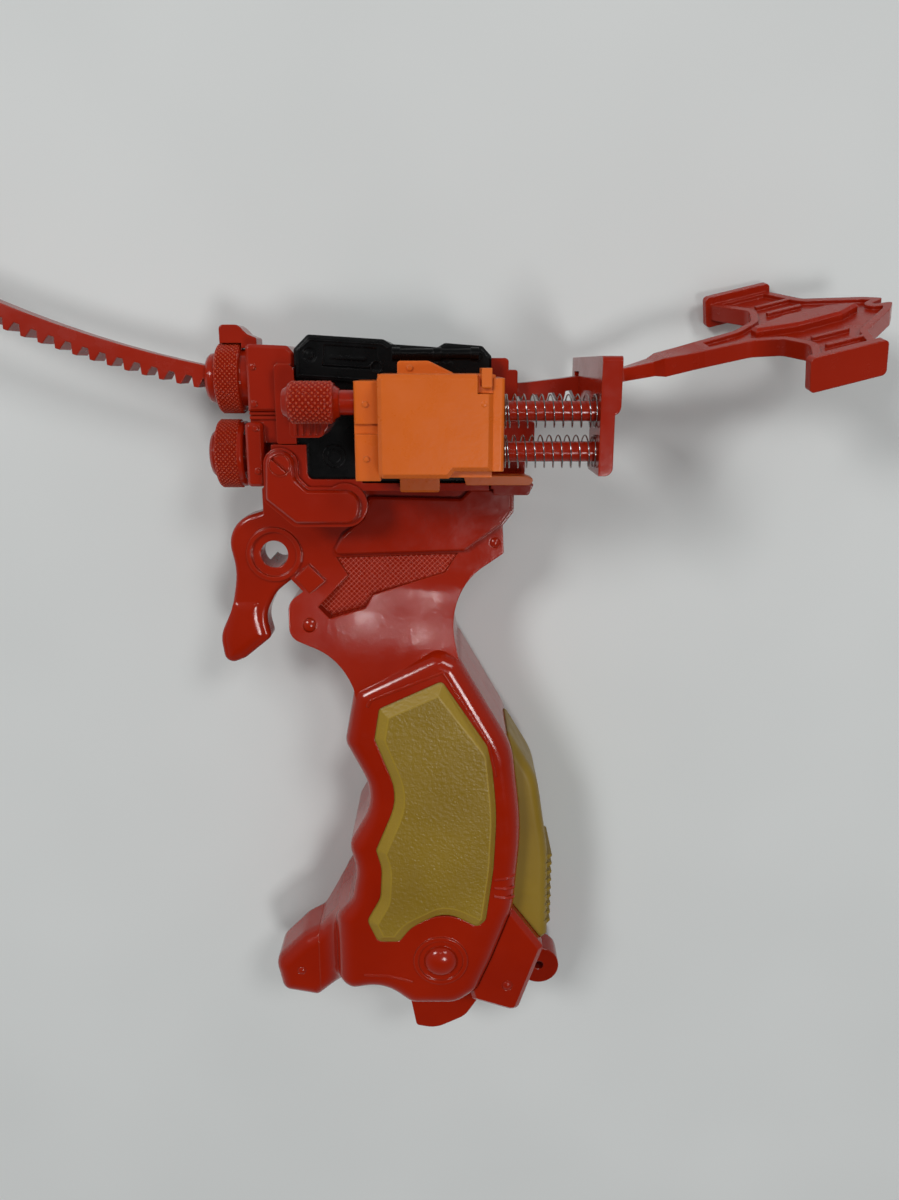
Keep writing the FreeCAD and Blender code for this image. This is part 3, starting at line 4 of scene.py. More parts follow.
import bpy
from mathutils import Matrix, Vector


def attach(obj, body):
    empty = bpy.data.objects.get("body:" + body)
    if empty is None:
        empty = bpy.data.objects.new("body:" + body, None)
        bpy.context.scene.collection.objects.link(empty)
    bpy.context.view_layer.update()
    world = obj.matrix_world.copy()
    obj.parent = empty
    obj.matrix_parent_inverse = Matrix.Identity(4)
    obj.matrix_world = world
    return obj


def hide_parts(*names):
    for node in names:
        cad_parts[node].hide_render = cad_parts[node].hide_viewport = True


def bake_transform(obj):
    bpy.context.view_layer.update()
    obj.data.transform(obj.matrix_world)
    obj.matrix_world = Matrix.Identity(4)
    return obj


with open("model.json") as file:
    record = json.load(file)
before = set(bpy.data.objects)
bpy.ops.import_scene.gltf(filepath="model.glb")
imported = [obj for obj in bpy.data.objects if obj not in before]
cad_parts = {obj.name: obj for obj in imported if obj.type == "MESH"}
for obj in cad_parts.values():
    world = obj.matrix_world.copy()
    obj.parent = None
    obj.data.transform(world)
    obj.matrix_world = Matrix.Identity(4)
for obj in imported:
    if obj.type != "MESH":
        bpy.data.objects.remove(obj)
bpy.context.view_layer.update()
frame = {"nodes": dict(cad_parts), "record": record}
MM = 0.001

# Levels of the CAD parts that the pieces below sit on, in millimetres.
SEAM_Z = 14.0               # parting plane of the grip
GRIP_FRONT = 27.1           # flat of the near shell
INLAY_FRONT = 28.0          # flat of the near inlay's solid
FLAT_FRONT = 20.0           # flat of the receiver
FIELD_DEEP = 0.5            # depth of the sunk field in that flat
HOUSING_FRONT = 28.0        # flat of the black launcher cover
WINDOW_FLOOR = 26.8         # lowered face of that cover, inside the cradle's window
LINK_FRONT = 30.0           # top of the dog-leg cover
BOX_FRONT = 46.7            # lid of the spring box
CORD_Z = 18.0               # middle of the ripcord's channel, and the barrels' axis
FOOT = 0.02                 # a raised line starts this far below the face that it stands on


# ------------------------------------------------------------------ shader nodes
def new_material(name):
    mat = bpy.data.materials.new(name)
    mat.use_nodes = True
    tree = mat.node_tree
    return mat, tree, tree.nodes["Principled BSDF"]


def coords(tree, scale=(1, 1, 1)):
    place = tree.nodes.new("ShaderNodeTexCoord")
    mapping = tree.nodes.new("ShaderNodeMapping")
    mapping.inputs["Scale"].default_value = scale
    tree.links.new(place.outputs["Object"], mapping.inputs["Vector"])
    return mapping.outputs["Vector"]


def noise(tree, vector, scale, detail=2.0, rough=0.5):
    node = tree.nodes.new("ShaderNodeTexNoise")
    node.inputs["Scale"].default_value = scale
    node.inputs["Detail"].default_value = detail
    node.inputs["Roughness"].default_value = rough
    tree.links.new(vector, node.inputs["Vector"])
    return node.outputs["Fac"]


def ramp(tree, value, low, high, at=(0.3, 0.7)):
    """Number that goes from low to high as value goes through at."""
    node = tree.nodes.new("ShaderNodeMapRange")
    node.inputs["From Min"].default_value = at[0]
    node.inputs["From Max"].default_value = at[1]
    node.inputs["To Min"].default_value = low
    node.inputs["To Max"].default_value = high
    tree.links.new(value, node.inputs["Value"])
    return node.outputs["Result"]


def product(tree, a, b):
    node = tree.nodes.new("ShaderNodeMath")
    node.operation = "MULTIPLY"
    tree.links.new(a, node.inputs[0])
    tree.links.new(b, node.inputs[1])
    return node.outputs["Value"]


def tint(tree, value, low, high):
    """Mix of two colours, each given as numbers or as the output of another node."""
    node = tree.nodes.new("ShaderNodeMix")
    node.data_type = "RGBA"
    for colour, socket in ((low, node.inputs["A"]), (high, node.inputs["B"])):
        if isinstance(colour, tuple):
            socket.default_value = (*colour, 1)
        else:
            tree.links.new(colour, socket)
    tree.links.new(value, node.inputs["Factor"])
    return node.outputs["Result"]


def bump(tree, height, distance, strength, normal):
    node = tree.nodes.new("ShaderNodeBump")
    node.inputs["Distance"].default_value = distance
    node.inputs["Strength"].default_value = strength
    tree.links.new(height, node.inputs["Height"])
    tree.links.new(normal, node.inputs["Normal"])
    return node.outputs["Normal"]


def soft_edge(tree, radius):
    """Normal that rounds every edge by radius, and a mask: 1 on edges, 0 away from them."""
    bevel = tree.nodes.new("ShaderNodeBevel")
    bevel.samples = 6
    bevel.inputs["Radius"].default_value = radius
    flat = tree.nodes.new("ShaderNodeNewGeometry")
    dot = tree.nodes.new("ShaderNodeVectorMath")
    dot.operation = "DOT_PRODUCT"
    tree.links.new(bevel.outputs["Normal"], dot.inputs[0])
    tree.links.new(flat.outputs["Normal"], dot.inputs[1])
    return bevel.outputs["Normal"], ramp(tree, dot.outputs["Value"], 1, 0, (0.80, 0.995))


# ------------------------------------------------------------------ materials
# Noise scales are in waves per metre; grain heights and edge radii are in metres.
FLOW_SCALE = 60.0           # clouds left by the flow of the melt
SINK_SCALE = 90.0           # shallow waves over thick places
SINK_DEPTH = 0.00005
RUB_SCALE = 260.0           # patches rubbed by handling
BRUSH_SCALE = 700.0         # drawing marks on steel
STEEL_EDGE = 0.00015


def plastic(name, tones, rough=(0.2, 0.32), grain=0.00002, grain_scale=900.0, edge=0.0003,
            shine=0.5):
    """Moulded plastic: flow marks, a fine grain, handling marks in the gloss, paler rubbed edges.

    Tones are the dark and light of the flow marks and the tone of rubbed edges."""
    dark, light, worn = tones
    mat, tree, shader = new_material(name)
    vector = coords(tree)
    normal, edges = soft_edge(tree, edge)
    flow = noise(tree, vector, FLOW_SCALE, 3.0)
    rubbed = noise(tree, vector, RUB_SCALE, 4.0, 0.6)
    body = tint(tree, ramp(tree, flow, 0, 1), dark, light)
    wear = product(tree, edges, ramp(tree, rubbed, 0.1, 0.7))
    tree.links.new(tint(tree, wear, body, worn), shader.inputs["Base Color"])
    tree.links.new(ramp(tree, rubbed, *rough, (0.35, 0.75)), shader.inputs["Roughness"])
    normal = bump(tree, noise(tree, vector, SINK_SCALE, 1.0), SINK_DEPTH, 0.6, normal)
    normal = bump(tree, noise(tree, vector, grain_scale, 2.0), grain, 0.7, normal)
    tree.links.new(normal, shader.inputs["Normal"])
    shader.inputs["IOR"].default_value = 1.5
    shader.inputs["Specular IOR Level"].default_value = shine
    return mat


def metal(name, colour, rough):
    mat, tree, shader = new_material(name)
    brushed = noise(tree, coords(tree, (1, 1, 4)), BRUSH_SCALE, 3.0)
    dark = tuple(c * 0.82 for c in colour)
    normal, _ = soft_edge(tree, STEEL_EDGE)
    shader.inputs["Metallic"].default_value = 1.0
    tree.links.new(tint(tree, ramp(tree, brushed, 0, 1), dark, colour), shader.inputs["Base Color"])
    tree.links.new(ramp(tree, brushed, *rough), shader.inputs["Roughness"])
    tree.links.new(bump(tree, brushed, 0.00001, 0.5, normal), shader.inputs["Normal"])
    return mat


RED_TONES = (0.285, 0.0105, 0.0012), (0.335, 0.0140, 0.0018), (0.45, 0.048, 0.018)
# Paler tones painted on the raised lines and dots of the net, as a painted highlight.
NET_HIGHLIGHT_TONES = (0.56, 0.100, 0.064), (0.66, 0.140, 0.095), (0.72, 0.20, 0.15)
# Paler tone painted on the knurls' tips, as a painted highlight.
KNURL_HIGHLIGHT_TONES = (0.42, 0.050, 0.018), (0.50, 0.072, 0.030), (0.56, 0.11, 0.06)
CORD_TONES = (0.30, 0.0120, 0.0018), (0.35, 0.0155, 0.0026), (0.46, 0.045, 0.018)
BLACK_TONES = (0.0012, 0.0012, 0.0013), (0.0022, 0.0022, 0.0024), (0.014, 0.014, 0.015)
ORANGE_TONES = (0.62, 0.116, 0.009), (0.70, 0.140, 0.012), (0.80, 0.22, 0.05)
WHITE_TONES = (0.62, 0.61, 0.58), (0.70, 0.69, 0.66), (0.78, 0.77, 0.74)
MUSTARD_TONES = (0.225, 0.138, 0.0105), (0.27, 0.172, 0.016), (0.32, 0.22, 0.035)
# Paler tones painted on the pads' sloping edges: painted light, as if the slope caught more light.
SLOPE_LIT_TONES = (0.30, 0.192, 0.018), (0.35, 0.228, 0.024), (0.40, 0.27, 0.05)

RED = plastic("red_plastic", RED_TONES, rough=(0.10, 0.20), edge=0.00035, shine=0.4)
RED_FINE = plastic("red_plastic_fine", RED_TONES, rough=(0.18, 0.30), edge=0.00004, shine=0.4)
# Paler finishes that carry painted highlights: the net's lines and dots, and the knurls' tips.
RED_NET_HIGHLIGHT = plastic("red_plastic_net_highlight", NET_HIGHLIGHT_TONES, rough=(0.16, 0.28), edge=0.00003, shine=0.4)
RED_KNURL_HIGHLIGHT = plastic("red_plastic_knurl_highlight", KNURL_HIGHLIGHT_TONES, rough=(0.16, 0.28), edge=0.00003,
                    shine=0.35)
RED_CORD = plastic("red_cord", CORD_TONES, rough=(0.20, 0.32), shine=0.3)
BLACK = plastic("black_plastic", BLACK_TONES, rough=(0.24, 0.34), shine=0.16)
ORANGE = plastic("orange_plastic", ORANGE_TONES, rough=(0.26, 0.38), grain=0.00003,
                 grain_scale=1400.0, shine=0.3)
WHITE = plastic("white_plastic", WHITE_TONES)
MUSTARD = plastic("mustard_plastic", MUSTARD_TONES, rough=(0.36, 0.50), edge=0.0004, shine=0.3)
MUSTARD_GRAIN = plastic("mustard_grain", MUSTARD_TONES, rough=(0.30, 0.44), grain=0.00022,
                        grain_scale=1500.0, edge=0.0002, shine=0.35)
# Finish for the pads' sloping edges, painted paler as lit.
MUSTARD_SLOPE_LIT = plastic("mustard_slope_painted_light", SLOPE_LIT_TONES, rough=(0.34, 0.46), grain=0.00012,
                        grain_scale=1500.0, edge=0.0002, shine=0.35)
SPRING_STEEL = metal("spring_steel", (0.36, 0.35, 0.34), (0.10, 0.2))
ZINC_STEEL = metal("zinc_steel", (0.60, 0.60, 0.61), (0.25, 0.4))

SLOT_MATERIALS = {
    "red_plastic": RED,
    "cord_plastic": RED_CORD,
    "black_plastic": BLACK,
    "orange_plastic": ORANGE,
    "white_plastic": WHITE,
    "mustard_plastic": MUSTARD,
    "spring_steel": SPRING_STEEL,
    "zinc_steel": ZINC_STEEL,
}
NODE_SLOTS = {part["node"]: part["material_slot"] for part in frame["record"]["subparts"]}
for node_name, node_object in frame["nodes"].items():
    for material_slot in node_object.material_slots:
        material_slot.material = SLOT_MATERIALS[NODE_SLOTS[node_name]]


# ------------------------------------------------------------------ mesh helpers, in millimetres
def mesh_object(name, verts, faces, finishes, smooth=False):
    mesh = bpy.data.meshes.new(name)
    mesh.from_pydata([(x * MM, y * MM, z * MM) for x, y, z in verts], [], faces)
    mesh.validate()
    for finish in finishes:
        mesh.materials.append(finish)
    for polygon in mesh.polygons:
        polygon.use_smooth = smooth
    obj = bpy.data.objects.new(name, mesh)
    bpy.context.collection.objects.link(obj)
    return obj


def piece(name, verts, faces, slot, body="grip", smooth=False, finish=None, accents=(),
          accent_finish=None):
    """Piece on a body. Faces whose entry in accents is true take accent_finish."""
    finishes = [finish or SLOT_MATERIALS[slot]]
    if accents:
        finishes.append(accent_finish)
    obj = mesh_object(name, verts, faces, finishes, smooth)
    for polygon, accent in zip(obj.data.polygons, accents):
        polygon.material_index = int(accent)
    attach(obj, body)
    return obj


def shifted(corners, inset):
    """The same corners, with each side moved inwards and the roundings kept parallel."""
    count = len(corners)
    points = [Vector(c[:2]) for c in corners]
    turn = sum(points[i].cross(points[(i + 1) % count]) for i in range(count))
    side = 1 if turn > 0 else -1
    lines = []
    for i in range(count):
        a, b = points[i], points[(i + 1) % count]
        along = (b - a).normalized()
        inwards = Vector((-along.y, along.x)) * side * inset
        lines.append((a + inwards, along))
    moved = []
    for i in range(count):
        (a, u), (b, v) = lines[i - 1], lines[i]
        cross = u.cross(v)
        corner = a + u * ((b - a).cross(v) / cross) if abs(cross) > 1e-6 else b
        radius = corners[i][2] if len(corners[i]) > 2 else 0.0
        bends_out = cross * side > 0
        radius = max(radius - inset if bends_out else radius + inset, 0.05)
        moved.append((corner.x, corner.y, radius))
    return moved


def rounded(corners, steps=6):
    """Points round an outline of (x, y, radius) corners, the same number for each corner."""
    count = len(corners)
    path = []
    for i in range(count):
        before, here, after = (Vector(corners[j % count][:2]) for j in (i - 1, i, i + 1))
        radius = corners[i][2]
        u = (before - here).normalized()
        v = (after - here).normalized()
        half = u.angle(v) / 2
        reach = min(radius / math.tan(half), (before - here).length * 0.49,
                    (after - here).length * 0.49)
        start, end = here + u * reach, here + v * reach
        for k in range(steps + 1):
            t = k / steps
            path.append((start * (1 - t) + here * t) * (1 - t) + (here * (1 - t) + end * t) * t)
    return path


def stacked(name, rings, slot, smooth=False, **finishes):
    """Skin through rings of points, one above the other, closed with a face on the last one."""
    count = len(rings[0])
    verts = [p for ring in rings for p in ring]
    faces = []
    for level in range(len(rings) - 1):
        for i in range(count):
            j = (i + 1) % count
            faces.append((level * count + i, level * count + j,
                          (level + 1) * count + j, (level + 1) * count + i))
    faces.append(tuple(range((len(rings) - 1) * count, len(rings) * count)))
    return piece(name, verts, faces, slot, smooth=smooth, **finishes)


def facing(rings, side):
    """The rings as they are for the near side, or turned round for the far side."""
    return rings if side > 0 else [list(reversed(ring)) for ring in rings]


def ridge(name, points, width, level, rise, slot, deep=FOOT, closed=False):
    """Low moulded line along points, narrower at its top than at its foot."""
    path = [Vector(p) for p in points]
    count = len(path)
    verts, faces = [], []
    for i, here in enumerate(path):
        before = path[i - 1] if closed or i else here * 2 - path[1]
        after = path[(i + 1) % count] if closed or i < count - 1 else here * 2 - path[-2]
        u, v = (here - before).normalized(), (after - here).normalized()
        across = Vector((-(u + v).y, (u + v).x)).normalized()
        across /= max(across.dot(Vector((-u.y, u.x))), 0.4)
        for share, z in ((-0.5, level - deep), (-0.3, level + rise),
                         (0.3, level + rise), (0.5, level - deep)):
            spot = here + across * width * share
            verts.append((spot.x, spot.y, z))
    for i in range(count if closed else count - 1):
        a, b = i * 4, ((i + 1) % count) * 4
        for k in range(3):
            faces.append((a + k, b + k, b + k + 1, a + k + 1))
    if not closed:
        faces += [(0, 1, 2, 3), tuple(count * 4 - 1 - k for k in range(4))]
    piece(name, verts, faces, slot)


def circle(x, y, r, count):
    return [(x + r * math.cos(math.tau * k / count), y + r * math.sin(math.tau * k / count))
            for k in range(count)]


# ------------------------------------------------------------------ knurled bands
KNURL_STEPS = 6             # mesh steps in one pitch
KNURL_LIFT = 0.01           # the grooves stay this far above the solid
KNURL_HIGHLIGHT_SHARE = 0.32            # a face near a pyramid's tip takes the painted highlight from this share of the pitch off a groove


def knurl(name, x0, x1, y, z, radius, rise, pitch, body):
    """Band of small pyramids between two crossing sets of grooves, round an axis along X, with a
    painted highlight on the pyramids' tips.
    """
    around = round(math.tau * radius / pitch) * KNURL_STEPS
    along = round((x1 - x0) / pitch) * KNURL_STEPS
    verts, faces, highlit_faces = [], [], []
    for j in range(along + 1):
        fade = min(1.0, j / 2, (along - j) / 2)
        for i in range(around):
            a = (i + j) / KNURL_STEPS % 1
            b = (i - j) / KNURL_STEPS % 1
            high = min(a, 1 - a, b, 1 - b) * 2
            r = radius + KNURL_LIFT + rise * fade * min(1.0, high * 1.5)
            turn = math.tau * i / around
            verts.append((x0 + (x1 - x0) * j / along, y + r * math.sin(turn),
                          z + r * math.cos(turn)))
    for j in range(along):
        for i in range(around):
            k = (i + 1) % around
            faces.append((j * around + i, j * around + k,
                          (j + 1) * around + k, (j + 1) * around + i))
            a, b = (i + j + 1) / KNURL_STEPS % 1, (i - j) / KNURL_STEPS % 1
            highlit_faces.append(min(a, 1 - a, b, 1 - b) > KNURL_HIGHLIGHT_SHARE)
    piece(name, verts, faces, "red_plastic", body, finish=RED_FINE, accents=highlit_faces,
          accent_finish=RED_KNURL_HIGHLIGHT)


knurl("upper_knurl", -36.6, -32.5, 10.85, CORD_Z, 6.0, 0.28, 0.85, "grip")
knurl("lower_knurl", -37.4, -33.3, -2.75, CORD_Z, 6.0, 0.28, 0.85, "grip")
knurl("knob_knurl", -20.7, -13.8, 7.35, 38.6, 3.1, 0.30, 1.05, "knob")


# ------------------------------------------------------------------ diamond net in the receiver
FIELD_OUTLINE = [(-16.5, -22.1), (6.6, -21.3), (4.2, -25.0), (-9.6, -29.2), (-11.0, -31.6),
                 (-17.8, -33.5), (-20.0, -31.4), (-14.3, -25.6)]
NET_PITCH = 1.0
NET_STEPS = 8               # mesh steps in one pitch
NET_LIFT = 0.02             # the net's lowest points stay this far off the field
NET_RISE = 0.2
NET_HIGHLIGHT_SHARE = 0.6               # a face takes the painted highlight from this share of the rise


def inside(x, y, outline):
    hit = False
    for (ax, ay), (bx, by) in zip(outline, outline[1:] + outline[:1]):
        if (ay > y) != (by > y) and x < (bx - ax) * (y - ay) / (by - ay) + ax:
            hit = not hit
    return hit


def net_height(i, j):
    """Share of the rise at a mesh step: thin crossing lines, and a dot in each diamond."""
    a, b = (i + j) / NET_STEPS % 1, (i - j) / NET_STEPS % 1
    line = max(0.0, 1 - min(a, 1 - a, b, 1 - b) * 4.5)
    return max(line, 1 - math.hypot(a - 0.5, b - 0.5) * 4)


def net(name, level, up):
    """Net over the sunk field of one shell. The far one has up = -1."""
    step = NET_PITCH / NET_STEPS
    field = [(x, y) for x, y, _ in shifted(FIELD_OUTLINE, 0.15)]
    left, bottom = min(x for x, _ in field), min(y for _, y in field)
    wide = int((max(x for x, _ in field) - left) / step)
    high = int((max(y for _, y in field) - bottom) / step)
    verts, faces, highlit_faces, index = [], [], [], {}

    def corner(i, j):
        if (i, j) not in index:
            index[i, j] = len(verts)
            verts.append((left + i * step, bottom + j * step,
                          level + up * NET_RISE * net_height(i, j)))
        return index[i, j]

    for i in range(wide):
        for j in range(high):
            if inside(left + (i + 0.5) * step, bottom + (j + 0.5) * step, field):
                faces.append((corner(i, j), corner(i + 1, j), corner(i + 1, j + 1),
                              corner(i, j + 1)))
                # Faces high on the lines and dots take the painted highlight.
                highlit_faces.append(net_height(i + 0.5, j + 0.5) > NET_HIGHLIGHT_SHARE)
    piece(name, verts, faces, "red_plastic", finish=RED_FINE, accents=highlit_faces,
          accent_finish=RED_NET_HIGHLIGHT)


net("near_net", FLAT_FRONT - FIELD_DEEP + NET_LIFT, 1)
net("far_net", 2 * SEAM_Z - FLAT_FRONT + FIELD_DEEP - NET_LIFT, -1)


# ------------------------------------------------------------------ grip inlays
INLAY_OUTLINE = [
    (-8.4, -50.0, 1.0), (3.6, -44.4, 1.0), (12.9, -58.6, 6.0), (14.3, -72.0, 60.0),
    (13.8, -84.0, 40.0), (12.4, -95.6, 1.6), (10.7, -97.4, 1.6), (4.2, -93.6, 8.0),
    (-2.8, -97.4, 8.0), (-5.2, -100.7, 1.4), (-9.6, -100.7, 1.6), (-11.7, -95.8, 2.0),
    (-8.9, -90.6, 5.0), (-8.5, -84.0, 8.0), (-9.6, -79.9, 1.2), (-4.9, -68.3, 12.0),
    (-9.4, -56.2, 1.2),
]
SLOPE_WIDTH = 1.9
SLOPE_LESS = 0.9            # the slope is this much narrower along the back edge, at x over 9


def inlay_pad(name, side, node, proud):
    """Pad with a broad sloping edge round its grained flat; the slope takes a paler tone, painted
    light for the light that it catches.
    """
    rings = []
    for inset, height in ((0.04, -0.4), (0.04, 0.02), (0.3, 0.12),
                          (SLOPE_WIDTH, proud - 0.06), (SLOPE_WIDTH + 0.3, proud)):
        z = SEAM_Z + side * (GRIP_FRONT + height - SEAM_Z)
        less = SLOPE_LESS if inset >= SLOPE_WIDTH else 0
        rings.append([(p.x + less * min(1.0, max(0.0, (p.x - 4.0) / 5)), p.y, z)
                      for p in rounded(shifted(INLAY_OUTLINE, inset), 5)])
    around = len(rings[0])
    # The faces of the slope take the paler painted light.
    slope = [2 * around <= k < 4 * around for k in range(4 * around + 1)]
    pad = stacked(name, facing(rings, side), "mustard_plastic", finish=MUSTARD_GRAIN,
                  accents=slope, accent_finish=MUSTARD_SLOPE_LIT)
    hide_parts(node)


inlay_pad("near_grip_pad", 1, "near_inlay", 1.35)
inlay_pad("far_grip_pad", -1, "far_inlay", INLAY_FRONT - GRIP_FRONT)


# ------------------------------------------------------------------ lines moulded on the grip
EDGE_FLAT_X = 15.7          # the flat of the grip ends here on its back side
EDGE_ROUND = 3.0
RIB_START_X = 14.0
RIB_REACH = 4.2
RIB_STEPS = 14
RIB_HALF = 0.35
RIB_RISE = 0.24


def rim_rib(name, y, lean):
    """Thin rib over the rounded back edge of the near shell."""
    verts, faces = [], []
    for k in range(RIB_STEPS + 1):
        x = RIB_START_X + RIB_REACH * k / RIB_STEPS
        over = max(0.0, x - EDGE_FLAT_X)
        z = GRIP_FRONT - EDGE_ROUND + math.sqrt(EDGE_ROUND ** 2 - over ** 2)
        at = y + lean * (x - RIB_START_X)
        verts += [(x, at - RIB_HALF, z - 0.05), (x, at, z + RIB_RISE),
                  (x, at + RIB_HALF, z - 0.05)]
    for k in range(RIB_STEPS):
        for i in range(2):
            faces.append((k * 3 + i, k * 3 + 3 + i, k * 3 + 4 + i, k * 3 + 1 + i))
    piece(name, verts, faces, "red_plastic", finish=RED_FINE)


for k, (y, lean) in enumerate(((-86.6, 0.12), (-88.4, -0.1), (-90.3, -0.18))):
    rim_rib("rim_rib_%d" % k, y, lean)
ridge("pad_frame_line",
      [(-10.6, -49.6), (-10.0, -48.3), (3.7, -42.7), (12.4, -57.0), (13.9, -64.0)],
      0.7, GRIP_FRONT, 0.2, "red_plastic")
ridge("arch_line", [(-12.6, -108.6), (-7.6, -108.8), (-2.6, -110.2)], 0.6, GRIP_FRONT, 0.16,
      "red_plastic")


def strap_tooth(name, y):
    """Small pointed tooth on the back strap."""
    rings = []
    for x, half, deep in ((24.6, 0.95, 6.6), (25.6, 0.75, 6.2), (26.25, 0.25, 5.8)):
        low, high = y - half, y + half * 0.4
        back, front = SEAM_Z - deep, SEAM_Z + deep
        rings.append([(x, low, back), (x, high, back), (x, high, front), (x, low, front)])
    stacked(name, rings, "mustard_plastic")


for k in range(9):
    strap_tooth("strap_tooth_%d" % k, -85.2 - 1.9 * k)


ridge("turn_screw_ring", circle(-24.5, -3.65, 1.95, 36), 0.3, LINK_FRONT, 0.14, "red_plastic",
      closed=True)


# ------------------------------------------------------------------ crown of the trigger hook
HOOK_OUTLINE = [
    (-37.0, -30.0, 2.0), (-39.4, -37.8, 6.0), (-38.8, -43.9, 1.8), (-34.9, -42.3, 1.6),
    (-29.8, -38.0, 1.4), (-30.8, -33.6, 6.0), (-30.4, -30.0, 2.0),
]
CROWN = ((0.7, -0.1), (1.1, 0.14), (1.5, 0.27), (1.9, 0.36), (2.3, 0.42), (2.7, 0.44))
stacked("hook_crown",
        [[(p.x, p.y, FLAT_FRONT + rise) for p in rounded(shifted(HOOK_OUTLINE, inset))]
         for inset, rise in CROWN], "red_plastic", smooth=True)


# ------------------------------------------------------------------ domes and the lid's notch
DOME_STEP = 0.18            # angle between a dome's rings


def dome(name, x, y, z, r, rise, slot, side=1):
    rings = [[(px, py, z + side * rise * math.sin(DOME_STEP * k))
              for px, py in circle(x, y, r * math.cos(DOME_STEP * k), 36)] for k in range(9)]
    stacked(name, facing(rings, side), slot, smooth=True)


BOSS = (3.2, -105.1)
BOSS_R = 3.35
BOSS_RISE = 1.7
dome("near_boss_dome", *BOSS, GRIP_FRONT + 0.05, BOSS_R, BOSS_RISE, "red_plastic")
dome("far_boss_dome", *BOSS, 2 * SEAM_Z - GRIP_FRONT - 0.05, BOSS_R,
     GRIP_FRONT - SEAM_Z * 2 + BOSS_RISE, "red_plastic", -1)     # ends above the table
dome("lid_pip", 10.3, 7.4, BOX_FRONT, 0.5, 0.1, "orange_plastic")
NOTCH = [(9.35, 8.95, 0.1), (12.05, 8.95, 0.1), (12.05, 11.8, 0.1), (9.35, 11.8, 0.1)]
stacked("clip_seat", [[(p.x, p.y, z) for p in rounded(NOTCH, 1)] for z in (44.8, 45.7)],
        "orange_plastic")


# ------------------------------------------------------------------ coil springs
SPRING_LEFT = 13.5          # side wall of the spring box
SPRING_RIGHT = 28.2         # plunger plate
SPRING_R = 2.54
WIRE_R = 0.12
SPRING_TURNS = 12
END_TURNS = 1.1             # closed turns at each end
END_PITCH = 2.3 * WIRE_R
END_GAP = 0.02              # between the wire and the faces that it bears on
TURN_STEPS = 32
WIRE_SIDES = 8
ROD_Z = 43.0


def coil(name, y, node):
    """Compression spring: open turns between one closed turn at each end."""
    x = SPRING_LEFT + WIRE_R + END_GAP
    length = SPRING_RIGHT - WIRE_R - END_GAP - x
    pitch = (length - 2 * END_TURNS * END_PITCH) / (SPRING_TURNS - 2 * END_TURNS)
    verts, faces = [], []
    for k in range(SPRING_TURNS * TURN_STEPS + 1):
        at = k / TURN_STEPS
        turn = math.tau * at
        out = Vector((0, math.cos(turn), math.sin(turn)))
        centre = Vector((x, y + SPRING_R * math.cos(turn), ROD_Z + SPRING_R * math.sin(turn)))
        for s in range(WIRE_SIDES):
            angle = math.tau * s / WIRE_SIDES
            ring = out * math.cos(angle) + Vector((1, 0, 0)) * math.sin(angle)
            verts.append((centre + ring * WIRE_R)[:])
        closed = at < END_TURNS or at >= SPRING_TURNS - END_TURNS
        x += (END_PITCH if closed else pitch) / TURN_STEPS
    for k in range(SPRING_TURNS * TURN_STEPS):
        for s in range(WIRE_SIDES):
            a, b = k * WIRE_SIDES, (k + 1) * WIRE_SIDES
            t = (s + 1) % WIRE_SIDES
            faces.append((a + s, a + t, b + t, b + s))
    obj = mesh_object(name, verts, faces, [SPRING_STEEL], smooth=True)
    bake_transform(obj)
    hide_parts(node)


coil("upper_coil", 6.2, "coil_spring_upper")
coil("lower_coil", -0.1, "coil_spring_lower")


# ------------------------------------------------------------------ relief on the black housing
def housing_line(name, points, width, rise, level=HOUSING_FRONT, deep=FOOT, closed=False):
    ridge(name, points, width, level, rise, "black_plastic", deep, closed)


housing_line("housing_border",
             [(-20.9, 11.9), (-20.9, 15.6), (-18.9, 17.35), (-6.6, 16.6), (-5.5, 15.9)], 0.4, 0.16)
housing_line("housing_lip", [(-20.9, 11.55), (-8.6, 10.75)], 0.5, 0.2)
housing_line("housing_groove_line", [(-16.6, 13.3), (-9.0, 12.85), (-8.4, 13.35)], 0.3, 0.05,
             deep=0.5)
housing_line("housing_small_ring", circle(-7.5, 12.9, 1.0, 28), 0.28, 0.18, closed=True)
housing_line("housing_end_ring", circle(9.9, 14.6, 0.75, 24), 0.25, 0.18, closed=True)
for k in range(6):
    x = -1.6 + 1.25 * k
    housing_line("housing_tick_%d" % k, [(x, 13.3), (x + 0.5, 13.75), (x + 1.0, 13.3)], 0.24, 0.14)
for k, r in enumerate((1.2, 2.0)):
    housing_line("window_ring_%d" % k, circle(-15.4, -2.4, r, 36), 0.28, 0.16,
                 level=WINDOW_FLOOR, closed=True)


# ------------------------------------------------------------------ floor, light and camera
FLOOR_HALF = 1600           # millimetres
LIGHT_TARGET = (0, -0.03, 0)


def make_floor():
    mat, tree, shader = new_material("floor_pale")
    broad = noise(tree, coords(tree), 14.0, 2.0)
    colour = tint(tree, ramp(tree, broad, 0, 1), (0.68, 0.70, 0.69), (0.72, 0.74, 0.73))
    tree.links.new(colour, shader.inputs["Base Color"])
    shader.inputs["Roughness"].default_value = 0.9
    s = FLOOR_HALF
    floor = mesh_object("floor", [(-s, -s, 0), (s, -s, 0), (s, s, 0), (-s, s, 0)],
                        [(0, 1, 2, 3)], [mat])
    floor.location.z = -0.00005


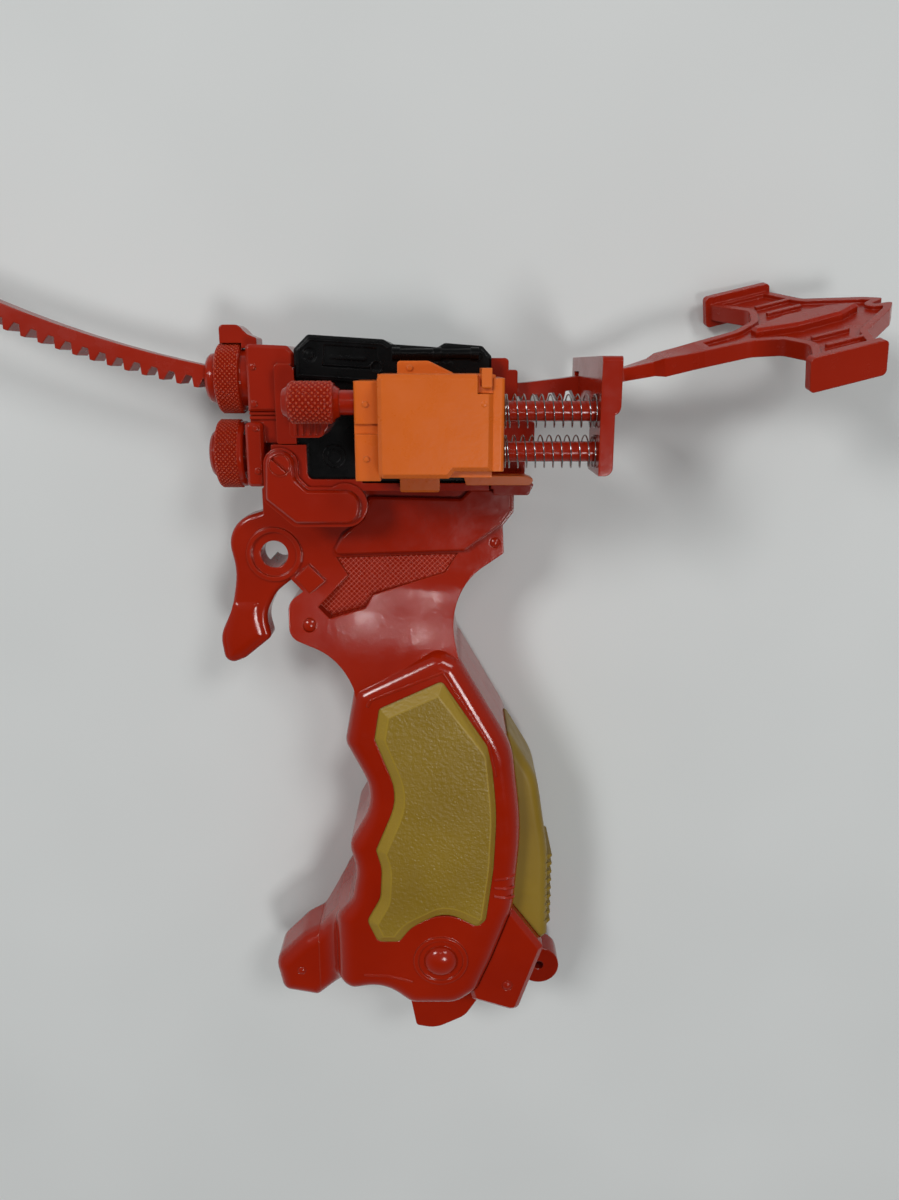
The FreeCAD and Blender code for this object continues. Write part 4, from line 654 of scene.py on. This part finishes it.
def area_light(name, at, size, power):
    """Square lamp that looks at the part."""
    light = bpy.data.lights.new(name, "AREA")
    light.energy = power
    light.size = size
    obj = bpy.data.objects.new(name, light)
    bpy.context.collection.objects.link(obj)
    obj.location = at
    look = Vector(LIGHT_TARGET) - Vector(at)
    obj.rotation_euler = look.to_track_quat("-Z", "Y").to_euler()


def studio_world():
    """Pale room, dimmer overhead and toward the grip: upward faces keep their own colour."""
    world = bpy.data.worlds.new("studio")
    world.use_nodes = True
    tree = world.node_tree
    direction = tree.nodes.new("ShaderNodeTexCoord").outputs["Generated"]
    split = tree.nodes.new("ShaderNodeSeparateXYZ")
    tree.links.new(direction, split.inputs["Vector"])
    above = tint(tree, ramp(tree, split.outputs["Y"], 0, 1, (-0.45, 0.05)),
                 (0.02, 0.02, 0.02), (0.15, 0.152, 0.155))
    room = tint(tree, ramp(tree, split.outputs["Z"], 0, 1, (0.1, 0.85)),
                (0.28, 0.285, 0.29), above)
    tree.links.new(room, tree.nodes["Background"].inputs["Color"])
    bpy.context.scene.world = world


# The lamps stand outside the directions that the flats mirror to the camera. Only the three
# small bulbs are mirrored, as short bright marks in rounded edges.
make_floor()
area_light("left", (-0.52, 0.36, 0.80), 0.24, 3.5)
area_light("right", (0.42, 0.46, 0.80), 0.24, 2.0)
area_light("overhead", (0.22, -0.24, 0.92), 0.18, 2.0)
for k in range(3):
    area_light("bulb_%d" % k, (-0.09 + 0.07 * k, 0.31 - 0.02 * k, 0.78), 0.018, 0.05)
studio_world()

IMAGE_HEIGHT = 1200.0
FOCAL_LENGTH = 901.0        # in pixels of the photograph
SENSOR = 36.0
camera_data = bpy.data.cameras.new("camera")
camera = bpy.data.objects.new("camera", camera_data)
bpy.context.collection.objects.link(camera)
camera.location = (5.0 * MM, 13.15 * MM, 187.5 * MM)
camera.rotation_euler = (-math.radians(14.6), 0, 0)
camera_data.sensor_fit = "VERTICAL"
camera_data.sensor_height = SENSOR
camera_data.lens = SENSOR * FOCAL_LENGTH / IMAGE_HEIGHT
camera_data.clip_start = 0.005
bpy.context.scene.camera = camera
bpy.context.scene.view_settings.view_transform = "Standard"
